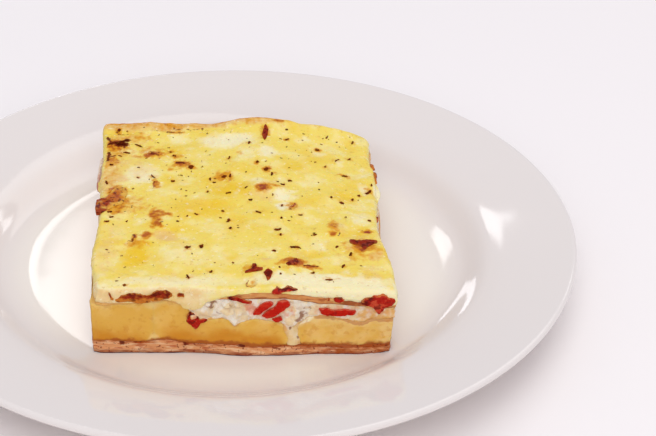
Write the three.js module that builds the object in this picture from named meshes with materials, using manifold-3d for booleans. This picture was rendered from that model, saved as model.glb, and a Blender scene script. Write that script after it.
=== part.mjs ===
// A square-cut slab of baked potato gnocchi with prosciutto, cream and melted cheese, on its round white plate.
// Millimetres, +Z up, -Y towards the eater. The origin is on the table, under the plate's centre.
import * as THREE from "three";
import { mergeVertices } from "three/addons/utils/BufferGeometryUtils.js";
import Module from "manifold-3d";

const wasm = await Module();
wasm.setup();

// Driving dimensions.
const GAP = 0.3;
const COLUMNS = 16;
const ROWS = 11;
const plate = {
  rimRadius: 140,
  floorTop: 6.5,
  floorRadius: 82,
  wallRadius: 110,
  wallRise: 9,
  flangeStart: 96,
  flangeRise: 7,
  flangeCurve: 1.2,
  floorThickness: 4,
  rimThickness: 3,
  footInner: 83,
  footOuter: 88,
  footTaper: 1,
  segments: 60,
};
const slab = {
  frontLeft: [-52, -65],
  frontRight: [62, -66],
  backLeft: [-55.5, 60],
  backRight: [57.5, 57],
  knifeWobble: 0.5,
};

// The surfaces between the layers: heights at points along the front cut and the back cut, and a ripple between.
const baseTop = {
  front: [[-52, 11.2], [-36, 12.4], [-12, 10.9], [24, 10.6], [62, 11.2]],
  back: [[-56, 10.8], [-10, 11.6], [30, 10.6], [58, 11.2]],
  ripple: 0.3,
  phase: 0.4,
};
const doughTop = {
  front: [[-52, 28.6], [-30, 29.6], [-18, 29.2], [-10, 22.4], [12, 22.2], [23, 20.8], [31, 23], [46, 22], [62, 23.4]],
  back: [[-56, 25], [-24, 22.5], [4, 25], [22, 22], [58, 21.5]],
  ripple: 0.5,
  phase: 1.7,
};
const creamTop = {
  front: [[-52, 30.2], [-18, 30.6], [4, 30.4], [16, 31.6], [26, 30.9], [34, 29.4], [50, 28], [62, 27.8]],
  back: [[-56, 30.6], [-14, 31.5], [10, 34], [32, 31], [58, 26.8]],
  ripple: 0.35,
  phase: 2.9,
};
const cheeseTop = {
  front: [[-52, 35.8], [-20, 36.2], [4, 36.2], [20, 37.2], [34, 36], [62, 35.6]],
  back: [[-56, 35.4], [-24, 36.2], [10, 39], [32, 36.6], [58, 31.6]],
  ripple: 0.45,
  phase: 4.1,
};
const sheetThickness = 2.4;

// Swellings of the melted top over what lies under it: place, reach along x and y, and height.
const swellings = [
  { x: -47, y: -2, alongX: 8, alongY: 10, height: 1.6 },
  { x: -25, y: -17, alongX: 9, alongY: 9, height: 1.1 },
  { x: 12, y: 10, alongX: 10, alongY: 7, height: 1.2 },
  { x: 24, y: -1, alongX: 5, alongY: 5, height: -0.9 },
  { x: 52, y: -32, alongX: 9, alongY: 6, height: 1.2 },
  { x: 40, y: -24, alongX: 6, alongY: 6, height: 0.9 },
  { x: 25, y: -46, alongX: 7, alongY: 5, height: 1.1 },
  { x: -48, y: 44, alongX: 9, alongY: 8, height: 0.8 },
  { x: -34, y: -44, alongX: 12, alongY: 10, height: -0.8 },
];

// Plain helpers.
const lerp = (a, b, t) => a + (b - a) * t;
const clamp01 = (t) => Math.min(1, Math.max(0, t));
const smooth = (t) => clamp01(t) ** 2 * (3 - 2 * clamp01(t));

// A repeatable stream of random numbers from 0 to 1.
function randomStream(seed) {
  let state = seed;
  return () => {
    state = (state + 0x6d2b79f5) | 0;
    let t = Math.imul(state ^ (state >>> 15), 1 | state);
    t = (t + Math.imul(t ^ (t >>> 7), 61 | t)) ^ t;
    return ((t ^ (t >>> 14)) >>> 0) / 4294967296;
  };
}

// A soft unevenness between -1 and 1: three waves that cross.
function ripple(x, y, phase) {
  return (
    0.5 * Math.sin(0.11 * x + 0.07 * y + phase) +
    0.3 * Math.sin(-0.19 * x + 0.23 * y + 2 * phase) +
    0.2 * Math.sin(0.37 * x + 0.31 * y + 3 * phase)
  );
}

// The height of a profile's points at x, eased from point to point.
function profileAt(points, x) {
  const after = points.findIndex((p) => p[0] > x);
  if (after === 0) return points[0][1];
  if (after < 0) return points[points.length - 1][1];
  const [a, b] = [points[after - 1], points[after]];
  return lerp(a[1], b[1], smooth((x - a[0]) / (b[0] - a[0])));
}

// The height of one of the surfaces at a place in the slab.
function heightAt(surface, x, y) {
  const back = smooth((y - slab.frontLeft[1]) / (slab.backLeft[1] - slab.frontLeft[1]));
  const height = lerp(profileAt(surface.front, x), profileAt(surface.back, x), back);
  return height + surface.ripple * ripple(x, y, surface.phase);
}

// The melted top's height, with its swellings.
function cheeseTopAt(x, y) {
  let height = heightAt(cheeseTop, x, y);
  for (const s of swellings) {
    height += s.height * Math.exp(-(((x - s.x) / s.alongX) ** 2) - ((y - s.y) / s.alongY) ** 2);
  }
  return height;
}

// A place in the slab's plan: s runs from the left side to the right, t from the front cut to the back.
function planAt(s, t, outset = 0) {
  const mix = (k) =>
    lerp(lerp(slab.frontLeft[k], slab.frontRight[k], s), lerp(slab.backLeft[k], slab.backRight[k], s), t);
  const [x, y] = [mix(0), mix(1)];
  const wobble = slab.knifeWobble;
  return [
    x + (2 * s - 1) * (outset + wobble * Math.sin(0.13 * y)),
    y + (2 * t - 1) * (outset + wobble * Math.sin(0.11 * x + 0.6)),
  ];
}

// A closed solid over a grid of columns and rows. The first ring is the underside, the last the upper side,
// and those between are walked round the edge only. Each ring gives a point for s and t from 0 to 1.
function closedGrid(columns, rows, rings) {
  const points = [];
  const faces = [];
  const across = columns + 1;
  const grid = (ring) => {
    const first = points.length;
    for (let j = 0; j <= rows; j++)
      for (let i = 0; i <= columns; i++) points.push(ring(i / columns, j / rows));
    return first;
  };
  const edge = [];
  for (let i = 0; i < columns; i++) edge.push([i, 0]);
  for (let j = 0; j < rows; j++) edge.push([columns, j]);
  for (let i = columns; i > 0; i--) edge.push([i, rows]);
  for (let j = rows; j > 0; j--) edge.push([0, j]);
  const gridEdge = (first) => edge.map(([i, j]) => first + j * across + i);
  const low = grid(rings[0]);
  const high = grid(rings[rings.length - 1]);
  const loops = [gridEdge(low)];
  for (const ring of rings.slice(1, -1)) {
    loops.push(edge.map(([i, j]) => points.push(ring(i / columns, j / rows)) - 1));
  }
  loops.push(gridEdge(high));
  for (let j = 0; j < rows; j++) {
    for (let i = 0; i < columns; i++) {
      const a = j * across + i;
      const [b, c, d] = [a + 1, a + across + 1, a + across];
      faces.push(low + a, low + c, low + b, low + a, low + d, low + c);
      faces.push(high + a, high + b, high + c, high + a, high + c, high + d);
    }
  }
  for (let k = 0; k + 1 < loops.length; k++) {
    const [lower, upper] = [loops[k], loops[k + 1]];
    lower.forEach((a, i) => {
      const next = (i + 1) % lower.length;
      faces.push(a, lower[next], upper[next], a, upper[next], upper[i]);
    });
  }
  const geometry = new THREE.BufferGeometry();
  geometry.setAttribute("position", new THREE.Float32BufferAttribute(points.flat(), 3));
  geometry.setIndex(faces);
  return geometry;
}

// A three.js geometry as a solid for cutting and joining, and back.
function toSolid(geometry) {
  const bare = geometry.clone();
  bare.deleteAttribute("normal");
  bare.deleteAttribute("uv");
  const merged = mergeVertices(bare, 1e-4);
  return new wasm.Manifold(
    new wasm.Mesh({
      numProp: 3,
      vertProperties: merged.attributes.position.array,
      triVerts: new Uint32Array(merged.index.array),
    }),
  );
}

// The largest of a solid's bodies as a geometry, so that no loose scrap is kept.
function toGeometry(solid) {
  const whole = solid.decompose().reduce((a, b) => (a.volume() > b.volume() ? a : b));
  const mesh = whole.getMesh();
  const geometry = new THREE.BufferGeometry();
  geometry.setAttribute("position", new THREE.Float32BufferAttribute(mesh.vertProperties, 3));
  geometry.setIndex(new THREE.BufferAttribute(mesh.triVerts, 1));
  return geometry;
}

// The plate's upper side: a flat floor, a wall that bends up out of it and over, and a sloping flange.
function plateTopAt(radius) {
  const wall = smooth((radius - plate.floorRadius) / (plate.wallRadius - plate.floorRadius));
  const flange = clamp01((radius - plate.flangeStart) / (plate.rimRadius - plate.flangeStart));
  return plate.floorTop + plate.wallRise * wall + plate.flangeRise * flange ** plate.flangeCurve;
}

// The plate, turned from one closed profile: underside and foot ring, rounded rim, upper side.
function plateGeometry() {
  const under = (radius) =>
    plateTopAt(radius) - lerp(plate.floorThickness, plate.rimThickness, radius / plate.rimRadius);
  const steps = (from, to, count) => Array.from({ length: count }, (_, i) => lerp(from, to, i / (count - 1)));
  const edgeRadius = plate.rimThickness / 2;
  const edgeCentre = plate.rimRadius - edgeRadius;
  const profile = [[0, under(0)], [plate.footInner - plate.footTaper, under(plate.footInner)]];
  profile.push([plate.footInner, 0], [plate.footOuter, 0]);
  for (const r of steps(plate.footOuter + plate.footTaper, plate.wallRadius, 4)) profile.push([r, under(r)]);
  for (const r of steps(plate.wallRadius, edgeCentre, 3).slice(1, -1)) profile.push([r, under(r)]);
  for (const angle of steps(-Math.PI / 2, Math.PI / 2, 5)) {
    const middle = plateTopAt(edgeCentre) - edgeRadius;
    profile.push([edgeCentre + edgeRadius * Math.cos(angle), middle + edgeRadius * Math.sin(angle)]);
  }
  for (const r of steps(edgeCentre, plate.wallRadius, 4).slice(1)) profile.push([r, plateTopAt(r)]);
  for (const r of steps(plate.wallRadius, plate.floorRadius, 7).slice(1)) profile.push([r, plateTopAt(r)]);
  profile.push([0, plate.floorTop]);
  const turned = new THREE.LatheGeometry(
    profile.map(([r, z]) => new THREE.Vector2(r, z)),
    plate.segments,
  );
  return turned.rotateX(Math.PI / 2);
}

// The underlayer of prosciutto slices, baked to the base, its edge in flaky bands.
function baseGeometry() {
  const level = (share, outset) => (s, t) => {
    const [x, y] = planAt(s, t, outset);
    const low = plateTopAt(Math.hypot(x, y)) + GAP;
    return [x, y, lerp(low, heightAt(baseTop, x, y), share)];
  };
  return closedGrid(12, 9, [level(0, -0.5), level(0.3, 0.1), level(0.55, -0.4), level(0.8, 0), level(1, -0.6)]);
}

// The three gnocchi side by side. Each reaches between two seams, given as the share of the slab's width at the
// front and at the back. A seam's own ends are rounded, and the slab's sides are cut flat.
const gnocchi = [
  { name: "gnocchi_left", from: [0, 0], to: [0.206, 0.286], columns: 4, cutLeft: true, cutRight: false },
  { name: "gnocchi_middle", from: [0.214, 0.294], to: [0.664, 0.645], columns: 9, cutLeft: false, cutRight: false },
  { name: "gnocchi_right", from: [0.69, 0.675], to: [1, 1], columns: 6, cutLeft: false, cutRight: true },
];
const shoulder = { reach: 3, drop: 2.2 };

// One of the gnocchi, or with clearance the space that it takes out of the cream, which runs out past the cuts.
function gnocchiGeometry(piece, clearance = 0) {
  const past = clearance ? 3 : 0;
  const level = (share, bulge) => (a, t) => {
    const left = planAt(lerp(piece.from[0], piece.from[1], t), t);
    const right = planAt(lerp(piece.to[0], piece.to[1], t), t);
    const width = right[0] - left[0];
    const outLeft = piece.cutLeft ? past : bulge + clearance;
    const outRight = piece.cutRight ? past : bulge + clearance;
    const x = lerp(left[0], right[0], a) - outLeft * (1 - a) + outRight * a;
    const y = lerp(left[1], right[1], a) + (2 * t - 1) * past;
    const toSeam = width * Math.min(piece.cutLeft ? 1 : a, piece.cutRight ? 1 : 1 - a);
    const low = heightAt(baseTop, x, y) + (clearance ? -1 : GAP);
    const high = heightAt(doughTop, x, y) + clearance - shoulder.drop * Math.exp(-((toSeam / shoulder.reach) ** 2));
    return [x, y, lerp(low, high, share)];
  };
  const rings = [level(0, -0.6), level(0.25, 0.2), level(0.7, 0.2), level(1, -0.8)];
  return closedGrid(piece.columns, ROWS, rings);
}

// The space between the gnocchi and the sheet of prosciutto, before the gnocchi are taken out of it.
function creamGeometry() {
  const level = (share, outset) => (s, t) => {
    const [x, y] = planAt(s, t, outset);
    return [x, y, lerp(heightAt(baseTop, x, y) + GAP, heightAt(creamTop, x, y), share)];
  };
  return closedGrid(COLUMNS, ROWS, [level(0, -0.3), level(0.5, 0.2), level(0.8, 0.3), level(1, -0.4)]);
}

// The sheet of prosciutto that lies between the cream and the melted top, or with clearance the space it takes.
function sheetGeometry(clearance = 0) {
  const level = (share, outset) => (s, t) => {
    const [x, y] = planAt(s, t, outset + clearance);
    const spread = clearance * (2 * share - 1);
    return [x, y, heightAt(creamTop, x, y) + lerp(GAP, sheetThickness, share) + spread];
  };
  return closedGrid(COLUMNS, ROWS, [level(0, 0), level(0.45, 0.9), level(1, 0.6)]);
}

// How far the melted top hangs down over the cuts: a wide run at the front, and the left corner.
function lipDepthAt(x, y) {
  const front = y < 0 ? 1 : 0.4;
  return front * (5 * Math.exp(-(((x + 12) / 6) ** 2)) + 2.8 * Math.exp(-(((x + 49) / 5) ** 2)));
}

// The melted cheese: it covers the sheet, rounds over at the edges and runs a little over the cuts.
function cheeseGeometry() {
  const sheetTopAt = (x, y) => heightAt(creamTop, x, y) + sheetThickness;
  const hangs = (x, y) => smooth(lipDepthAt(x, y) / 0.8);
  const place = (s, t, flush, hanging) => planAt(s, t, lerp(flush, hanging, hangs(...planAt(s, t))));
  const under = (s, t) => {
    const [x, y] = place(s, t, 0.1, 1.1);
    return [x, y, sheetTopAt(x, y) + 0.1];
  };
  const lip = (flush, hanging, share) => (s, t) => {
    const [x, y] = place(s, t, flush, hanging);
    return [x, y, sheetTopAt(x, y) + 0.1 - share * lipDepthAt(x, y)];
  };
  const brow = (s, t) => {
    const [x, y] = place(s, t, 0.6, 1.3);
    return [x, y, Math.max(cheeseTopAt(x, y) - 1.2, sheetTopAt(x, y) + 0.8)];
  };
  const over = (s, t) => {
    const [x, y] = place(s, t, 0, 0.5);
    return [x, y, Math.max(cheeseTopAt(x, y), sheetTopAt(x, y) + 1.4)];
  };
  return closedGrid(COLUMNS, ROWS, [under, lip(0.2, 1.15, 1), lip(0.5, 1.6, 0.9), brow, over]);
}

// A ragged crisp or lump: a ball of the given half sizes whose points stand in or out at random.
function lumpGeometry(centre, half, seed, clearance = 0) {
  const ball = new THREE.IcosahedronGeometry(1, Math.max(...half) < 5 ? 0 : 1);
  ball.deleteAttribute("normal");
  ball.deleteAttribute("uv");
  const round = mergeVertices(ball, 1e-4);
  const place = round.attributes.position;
  const random = randomStream(seed);
  for (let i = 0; i < place.count; i++) {
    const stretch = lerp(0.8, 1.15, random());
    place.setXYZ(
      i,
      centre[0] + place.getX(i) * (half[0] * stretch + clearance),
      centre[1] + place.getY(i) * (half[1] * stretch + clearance),
      centre[2] + place.getZ(i) * (half[2] * stretch + clearance),
    );
  }
  return round;
}

// A cut strip of prosciutto: a bar with clipped corners, its long way tilted in the front cut, running inwards.
function stripGeometry({ x, y, z, length, width, depth, tilt }, clearance = 0) {
  const [l, w] = [length / 2 + clearance, width / 2 + clearance];
  const clip = width * 0.22;
  const outline = [[-l, -w + clip], [-l + clip, -w], [l - 2 * clip, -w], [l, -w + 2 * clip]];
  const shape = new THREE.Shape(
    [...outline, ...outline.map(([a, b]) => [-a, -b])].map(([a, b]) => new THREE.Vector2(a, b)),
  );
  const bar = new THREE.ExtrudeGeometry(shape, { depth: depth + 2 * clearance, bevelEnabled: false, steps: 1 });
  bar.translate(0, 0, -clearance);
  bar.rotateZ(THREE.MathUtils.degToRad(tilt));
  // The outline's plane becomes the front cut's plane, and the bar runs from it towards +Y.
  bar.applyMatrix4(new THREE.Matrix4().makeBasis(
    new THREE.Vector3(1, 0, 0),
    new THREE.Vector3(0, 0, 1),
    new THREE.Vector3(0, 1, 0),
  ));
  const index = mergeVertices(bar).index;
  // That change of axes mirrors the bar, so its faces are turned round.
  const turned = mergeVertices(bar);
  for (let i = 0; i < index.count; i += 3) {
    const keep = index.getX(i + 1);
    turned.index.setX(i + 1, index.getX(i + 2));
    turned.index.setX(i + 2, keep);
  }
  turned.translate(x, y, z);
  return turned;
}

const strips = [
  { name: "prosciutto_strip_upper", x: 13.6, y: -66.1, z: 28, length: 7.6, width: 2.6, depth: 11, tilt: 41 },
  { name: "prosciutto_strip_broad", x: 19, y: -66.4, z: 27.1, length: 10.6, width: 3, depth: 14, tilt: 37 },
  { name: "prosciutto_strip_short", x: 20.4, y: -66.2, z: 23.4, length: 4, width: 1.4, depth: 8, tilt: 14 },
  { name: "prosciutto_strip_flat", x: 41.3, y: -66.6, z: 26.1, length: 13.6, width: 2.7, depth: 12, tilt: -5 },
];
// Where a crisp lies on the melted top, sunk in by a little more than half.
const onTop = (x, y, lift = 0.3) => [x, y, cheeseTopAt(x, y) + lift];
const crisps = [
  {
    name: "prosciutto_fold_front",
    lumps: [[[-12.6, -64.6, 23.6], [3.6, 2.2, 2.2]], [[-12, -64.6, 20.6], [1.9, 2, 2.4]]],
  },
  {
    name: "prosciutto_crust_left",
    lumps: [
      [[-35.4, -64.6, 32], [6.2, 2.4, 1.8]],
      [[-26, -64.8, 33], [5.6, 2.6, 2.1]],
    ],
  },
  {
    name: "prosciutto_crust_right",
    lumps: [[[55.2, -65.6, 31.8], [6, 2.6, 2]], [[60.2, -65.2, 29.6], [3.2, 2.6, 2.8]]],
  },
  { name: "prosciutto_curl", lumps: [[[3.2, -65.4, 31], [3.4, 2, 1.1]], [[0.4, -65.4, 32.2], [1.8, 1.8, 0.9]]] },
  { name: "prosciutto_bit_front", lumps: [[[41.8, -65.8, 31.6], [2.6, 1.8, 1.1]]] },
  { name: "prosciutto_bit_brow", lumps: [[[21.4, -65.4, 36.6], [4.8, 2, 1.1]]] },
  { name: "prosciutto_lump_left", lumps: [[onTop(-49.4, -5), [7.4, 8.4, 1.8]]] },
  { name: "prosciutto_edge_left", lumps: [[[-55.6, 26, 32.4], [1.7, 8, 2.2]]] },
  { name: "prosciutto_crisp_right", lumps: [[onTop(52.6, -31.4), [5.6, 2.6, 1.3]]] },
  { name: "prosciutto_crisp_back", lumps: [[onTop(12.6, 52), [1.8, 6.4, 1.2]]] },
  { name: "prosciutto_crisp_front", lumps: [[onTop(10, -50), [4, 3.4, 1.3]]] },
  { name: "prosciutto_crisp_small", lumps: [[onTop(16.4, -56.2), [1.9, 2.8, 1.2]]] },
  { name: "prosciutto_crisp_dark", lumps: [[onTop(24.4, -46.4), [3.4, 3.2, 1.3]]] },
  { name: "prosciutto_crisp_middle", lumps: [[onTop(26, -1.6, 0.5), [2.6, 3.4, 1.3]]] },
  { name: "prosciutto_side_right_back", lumps: [[[59, 28, 31.4], [2, 4.6, 2.2]]] },
  { name: "prosciutto_side_right_front", lumps: [[[59.6, -10, 30.8], [2, 3.6, 1.8]]] },
  { name: "prosciutto_side_left_front", lumps: [[[-53.2, -38, 31], [1.8, 5, 1.6]]] },
];

// Dried herb flecks on the melted top, thicker towards the back left as they fell.
function herbFlecks(count, avoid) {
  const random = randomStream(20);
  const flecks = [];
  while (flecks.length < count) {
    const [s, t, draw, turn] = [random(), random(), random(), random()];
    const [x, y] = planAt(lerp(0.03, 0.97, s), lerp(0.04, 0.96, t));
    const chance = 0.35 + 0.65 * smooth(t) * lerp(1, 0.6, s);
    const near = avoid.some(([c, h]) => Math.hypot((x - c[0]) / (h[0] + 2), (y - c[1]) / (h[1] + 2)) < 1.15);
    if (draw > chance || near) continue;
    const fleck = new THREE.OctahedronGeometry(1, 0);
    fleck.scale(lerp(1, 1.8, random()), lerp(0.6, 0.9, random()), 0.6);
    fleck.rotateZ(turn * Math.PI);
    fleck.translate(x, y, cheeseTopAt(x, y) + 0.05);
    flecks.push(toSolid(fleck));
  }
  return flecks;
}

// What each prosciutto piece takes out of the layers round it, with a clearance all round.
const hamPieces = [
  ...strips.map((strip) => ({
    name: strip.name,
    material: "strip",
    solid: toSolid(stripGeometry(strip)),
    space: toSolid(stripGeometry(strip, GAP + 0.05)),
  })),
  ...crisps.map((crisp, index) => {
    const joined = (clearance) =>
      crisp.lumps
        .map(([centre, half], k) => toSolid(lumpGeometry(centre, half, 100 * index + k + 1, clearance)))
        .reduce((a, b) => a.add(b));
    return { name: crisp.name, material: "crisp", solid: joined(0), space: joined(GAP + 0.15) };
  }),
];
const hamSpace = hamPieces.map((piece) => piece.space).reduce((a, b) => a.add(b));
const topCrisps = crisps.flatMap((crisp) => crisp.lumps).filter(([centre]) => centre[2] > 34);

const materials = {
  plate: new THREE.MeshStandardMaterial({ color: 0xe9e4e2, roughness: 0.12, metalness: 0 }),
  base: new THREE.MeshStandardMaterial({ color: 0xc08a66, roughness: 0.7, metalness: 0 }),
  dough: new THREE.MeshStandardMaterial({ color: 0xdcb055, roughness: 0.55, metalness: 0 }),
  cream: new THREE.MeshStandardMaterial({ color: 0xe9dfc8, roughness: 0.35, metalness: 0 }),
  sheet: new THREE.MeshStandardMaterial({ color: 0xcf9c70, roughness: 0.5, metalness: 0 }),
  cheese: new THREE.MeshStandardMaterial({ color: 0xf0dc86, roughness: 0.35, metalness: 0 }),
  strip: new THREE.MeshStandardMaterial({ color: 0xc93a30, roughness: 0.4, metalness: 0 }),
  crisp: new THREE.MeshStandardMaterial({ color: 0x9a4427, roughness: 0.5, metalness: 0 }),
};

const dish = new THREE.Group();
function addPiece(name, geometry, material) {
  const mesh = new THREE.Mesh(geometry, materials[material]);
  mesh.name = name;
  dish.add(mesh);
}

addPiece("plate", plateGeometry(), "plate");
addPiece("prosciutto_base", baseGeometry(), "base");
for (const piece of gnocchi) {
  addPiece(piece.name, toGeometry(toSolid(gnocchiGeometry(piece)).subtract(hamSpace)), "dough");
}
const gnocchiSpace = gnocchi.map((piece) => toSolid(gnocchiGeometry(piece, GAP))).reduce((a, b) => a.add(b));
addPiece("cream_filling", toGeometry(toSolid(creamGeometry()).subtract(gnocchiSpace).subtract(hamSpace)), "cream");
addPiece("prosciutto_sheet", toGeometry(toSolid(sheetGeometry()).subtract(hamSpace)), "sheet");
const sheetSpace = toSolid(sheetGeometry(GAP));
const bareCheese = toSolid(cheeseGeometry()).subtract(sheetSpace).subtract(hamSpace);
const herbs = herbFlecks(26, topCrisps);
addPiece("cheese_top", toGeometry(herbs.reduce((whole, fleck) => whole.add(fleck), bareCheese)), "cheese");
for (const piece of hamPieces) addPiece(piece.name, toGeometry(piece.solid), piece.material);

export default dish;
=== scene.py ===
"""A square-cut slab of baked gnocchi with prosciutto on its round white plate.

Shapes are worked out in millimetres with whole numpy arrays and are put into Blender in metres.
"""

import logging
import math
from collections.abc import Callable, Sequence
from dataclasses import dataclass, field
from enum import Enum

import bpy
import numpy as np
from mathutils import Matrix, Quaternion, Vector


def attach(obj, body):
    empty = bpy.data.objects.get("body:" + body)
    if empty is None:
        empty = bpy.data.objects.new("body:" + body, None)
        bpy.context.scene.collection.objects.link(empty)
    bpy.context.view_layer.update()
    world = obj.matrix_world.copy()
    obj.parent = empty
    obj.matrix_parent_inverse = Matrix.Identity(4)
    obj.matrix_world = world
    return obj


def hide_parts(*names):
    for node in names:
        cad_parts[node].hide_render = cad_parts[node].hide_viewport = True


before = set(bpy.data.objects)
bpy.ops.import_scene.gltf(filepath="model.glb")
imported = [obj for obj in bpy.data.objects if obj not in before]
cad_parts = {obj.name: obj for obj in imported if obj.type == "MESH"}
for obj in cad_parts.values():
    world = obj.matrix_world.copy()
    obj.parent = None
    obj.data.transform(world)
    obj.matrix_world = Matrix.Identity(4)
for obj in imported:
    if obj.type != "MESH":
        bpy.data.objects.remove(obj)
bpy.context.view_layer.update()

MM = 0.001
LOG = logging.getLogger("dish")
Array = np.ndarray
Piece = bpy.types.Object
Socket = bpy.types.NodeSocket
Tree = bpy.types.NodeTree
Points = Sequence[tuple[float, float]]
HeightMap = Callable[[Array, Array], Array]


# Plain arithmetic on arrays


def lerp(a: Array | float, b: Array | float, t: Array | float) -> Array | float:
    """Goes straight from a to b as t goes from 0 to 1."""
    return a + (b - a) * t


def eased(t: Array) -> Array:
    """Goes from 0 to 1 with a soft start and end: 3 t squared less 2 t cubed, with t held within 0 and 1."""
    held = np.clip(t, 0.0, 1.0)
    return held * held * (3.0 - 2.0 * held)


def bell(*offsets: Array) -> Array:
    """A soft hill: e to the minus sum of the squared offsets."""
    return np.exp(-sum(offset * offset for offset in offsets))


def through(points: Points, x: Array) -> Array:
    """The height of a profile at x, eased from each of its points to the next.

    Args:
        points: the profile's (place, height) pairs, in order.
        x: the places asked for.

    Returns:
        The heights, level past both ends.
    """
    places, heights = np.array(points, dtype=float).T
    after = np.clip(np.searchsorted(places, x), 1, len(places) - 1)
    step = (x - places[after - 1]) / (places[after] - places[after - 1])
    return lerp(heights[after - 1], heights[after], eased(step))


def edge_drop(distance: Array, radius: float) -> Array:
    """How far a rounded edge falls back: a quarter circle of the radius, nothing past its reach."""
    inside = radius - np.clip(distance, 0.0, radius)
    return radius - np.sqrt(np.maximum(radius * radius - inside * inside, 0.0))


def scattered(cells: Array, seed: int) -> Array:
    """A number from -1 to 1 for each cell of a lattice, mixed from its three indices and the seed."""
    mixed = cells[:, 0] * 374761393 + cells[:, 1] * 668265263 + cells[:, 2] * 1442695041 + seed * 974634777
    mixed = mixed & 0xFFFFFFFF
    mixed = ((mixed ^ (mixed >> 13)) * 1274126177) & 0xFFFFFFFF
    return (mixed ^ (mixed >> 16)) / 2147483647.5 - 1.0


def lattice(points: Array, cell: float, seed: int) -> Array:
    """Smooth chance variation: the numbers at a lattice's eight nearest corners, eased between them.

    Args:
        points: the places, one row each.
        cell: the lattice's spacing.
        seed: which variation it is.

    Returns:
        A number from -1 to 1 for each place.
    """
    scaled = points / cell
    base = np.floor(scaled).astype(np.int64)
    ease = eased(scaled - base)
    total = np.zeros(len(points))
    for corner in range(8):
        step = np.array([corner & 1, corner >> 1 & 1, corner >> 2 & 1])
        weight = np.prod(np.where(step == 1, ease, 1.0 - ease), axis=1)
        total += weight * scattered(base + step, seed)
    return total


def cloudy(points: Array, cell: float, octaves: int, seed: int) -> Array:
    """Lattice variations of ever finer cells, each turned and half as strong as the last, brought to 1.

    Args:
        points: the places, one row each.
        cell: the spacing of the coarsest.
        octaves: how many are added.
        seed: which variation it is.

    Returns:
        A number from about -1 to 1 for each place.
    """
    turn = np.array([[0.80, 0.60, 0.0], [-0.48, 0.64, 0.60], [0.36, -0.48, 0.80]])
    place = points.copy()
    total = np.zeros(len(points))
    weight = 1.0
    whole = 0.0
    for octave in range(octaves):
        total += weight * lattice(place, cell, seed + 17 * octave)
        whole += weight
        weight *= 0.5
        place = place @ turn * 2.03
    return total / whole


def cloudy_at(x: Array, y: Array, z: Array, cell: float, octaves: int, seed: int) -> Array:
    """The cloudy variation at places given by their three coordinates, in the shape of x."""
    return cloudy(np.stack([x.ravel(), y.ravel(), z.ravel()], axis=1), cell, octaves, seed).reshape(x.shape)


def flat_cloudy(x: Array, y: Array, cell: float, octaves: int, seed: int) -> Array:
    """The cloudy variation over a plan: the third coordinate is held at a share of the seed."""
    return cloudy_at(x, y, np.full(x.shape, 0.37 * seed), cell, octaves, seed)


# The slab's plan and the surfaces between its layers


@dataclass(frozen=True)
class Plan:
    """The slab's outline seen from above, a square cut by hand, with the knife's wobble."""

    front_left: tuple[float, float] = (-52.0, -65.0)
    front_right: tuple[float, float] = (62.0, -66.0)
    back_left: tuple[float, float] = (-55.5, 60.0)
    back_right: tuple[float, float] = (57.5, 57.0)
    wobble: float = 0.5
    soft_corner: float = 0.7
    corner_from: float = 0.94
    corner_run: float = 0.06

    def at(self, s: Array, t: Array, outset: Array | float = 0.0) -> tuple[Array, Array]:
        """A place in the plan: the four corners mixed by s and t, then moved out with the wobble.

        Args:
            s: from 0 at the left side to 1 at the right.
            t: from 0 at the front cut to 1 at the back.
            outset: how far the edge stands out, in full at an edge and nothing in the middle.

        Returns:
            The x and y of each place.
        """
        mixed = [
            lerp(
                lerp(self.front_left[k], self.front_right[k], s),
                lerp(self.back_left[k], self.back_right[k], s),
                t,
            )
            for k in (0, 1)
        ]
        across, deep = 2 * s - 1, 2 * t - 1
        corner = eased((np.abs(across) - self.corner_from) / self.corner_run)
        corner = corner * eased((np.abs(deep) - self.corner_from) / self.corner_run)
        outset = outset - self.soft_corner * corner
        x = mixed[0] + across * (outset + self.wobble * np.sin(0.13 * mixed[1]))
        y = mixed[1] + deep * (outset + self.wobble * np.sin(0.11 * mixed[0] + 0.6))
        return x, y

    def front(self, x: Array) -> Array:
        """Where the front cut stands at x, as y."""
        s = (x - self.front_left[0]) / (self.front_right[0] - self.front_left[0])
        return self.at(s, np.zeros_like(x))[1]


PLAN = Plan()

# Whatever lies in front of this y belongs to the front cut
NEAR_FRONT = -60.0


@dataclass(frozen=True)
class Surface:
    """A surface between two layers: a profile at the front cut, one at the back, and a ripple between."""

    front: Points
    back: Points
    ripple: float
    phase: float

    def height(self, x: Array, y: Array) -> Array:
        """The front and back profiles, mixed by the eased way back, and three crossing waves added."""
        way = eased((y - PLAN.front_left[1]) / (PLAN.back_left[1] - PLAN.front_left[1]))
        waves = (
            0.5 * np.sin(0.11 * x + 0.07 * y + self.phase)
            + 0.3 * np.sin(-0.19 * x + 0.23 * y + 2 * self.phase)
            + 0.2 * np.sin(0.37 * x + 0.31 * y + 3 * self.phase)
        )
        calm = 0.25 + 0.75 * eased((y - PLAN.front_left[1]) / 12.0)
        return lerp(through(self.front, x), through(self.back, x), way) + self.ripple * waves * calm

    def lifted(self, lift: float) -> HeightMap:
        """The surface's heights with a small lift added, in mm."""
        return lambda x, y: self.height(x, y) + lift


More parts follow.
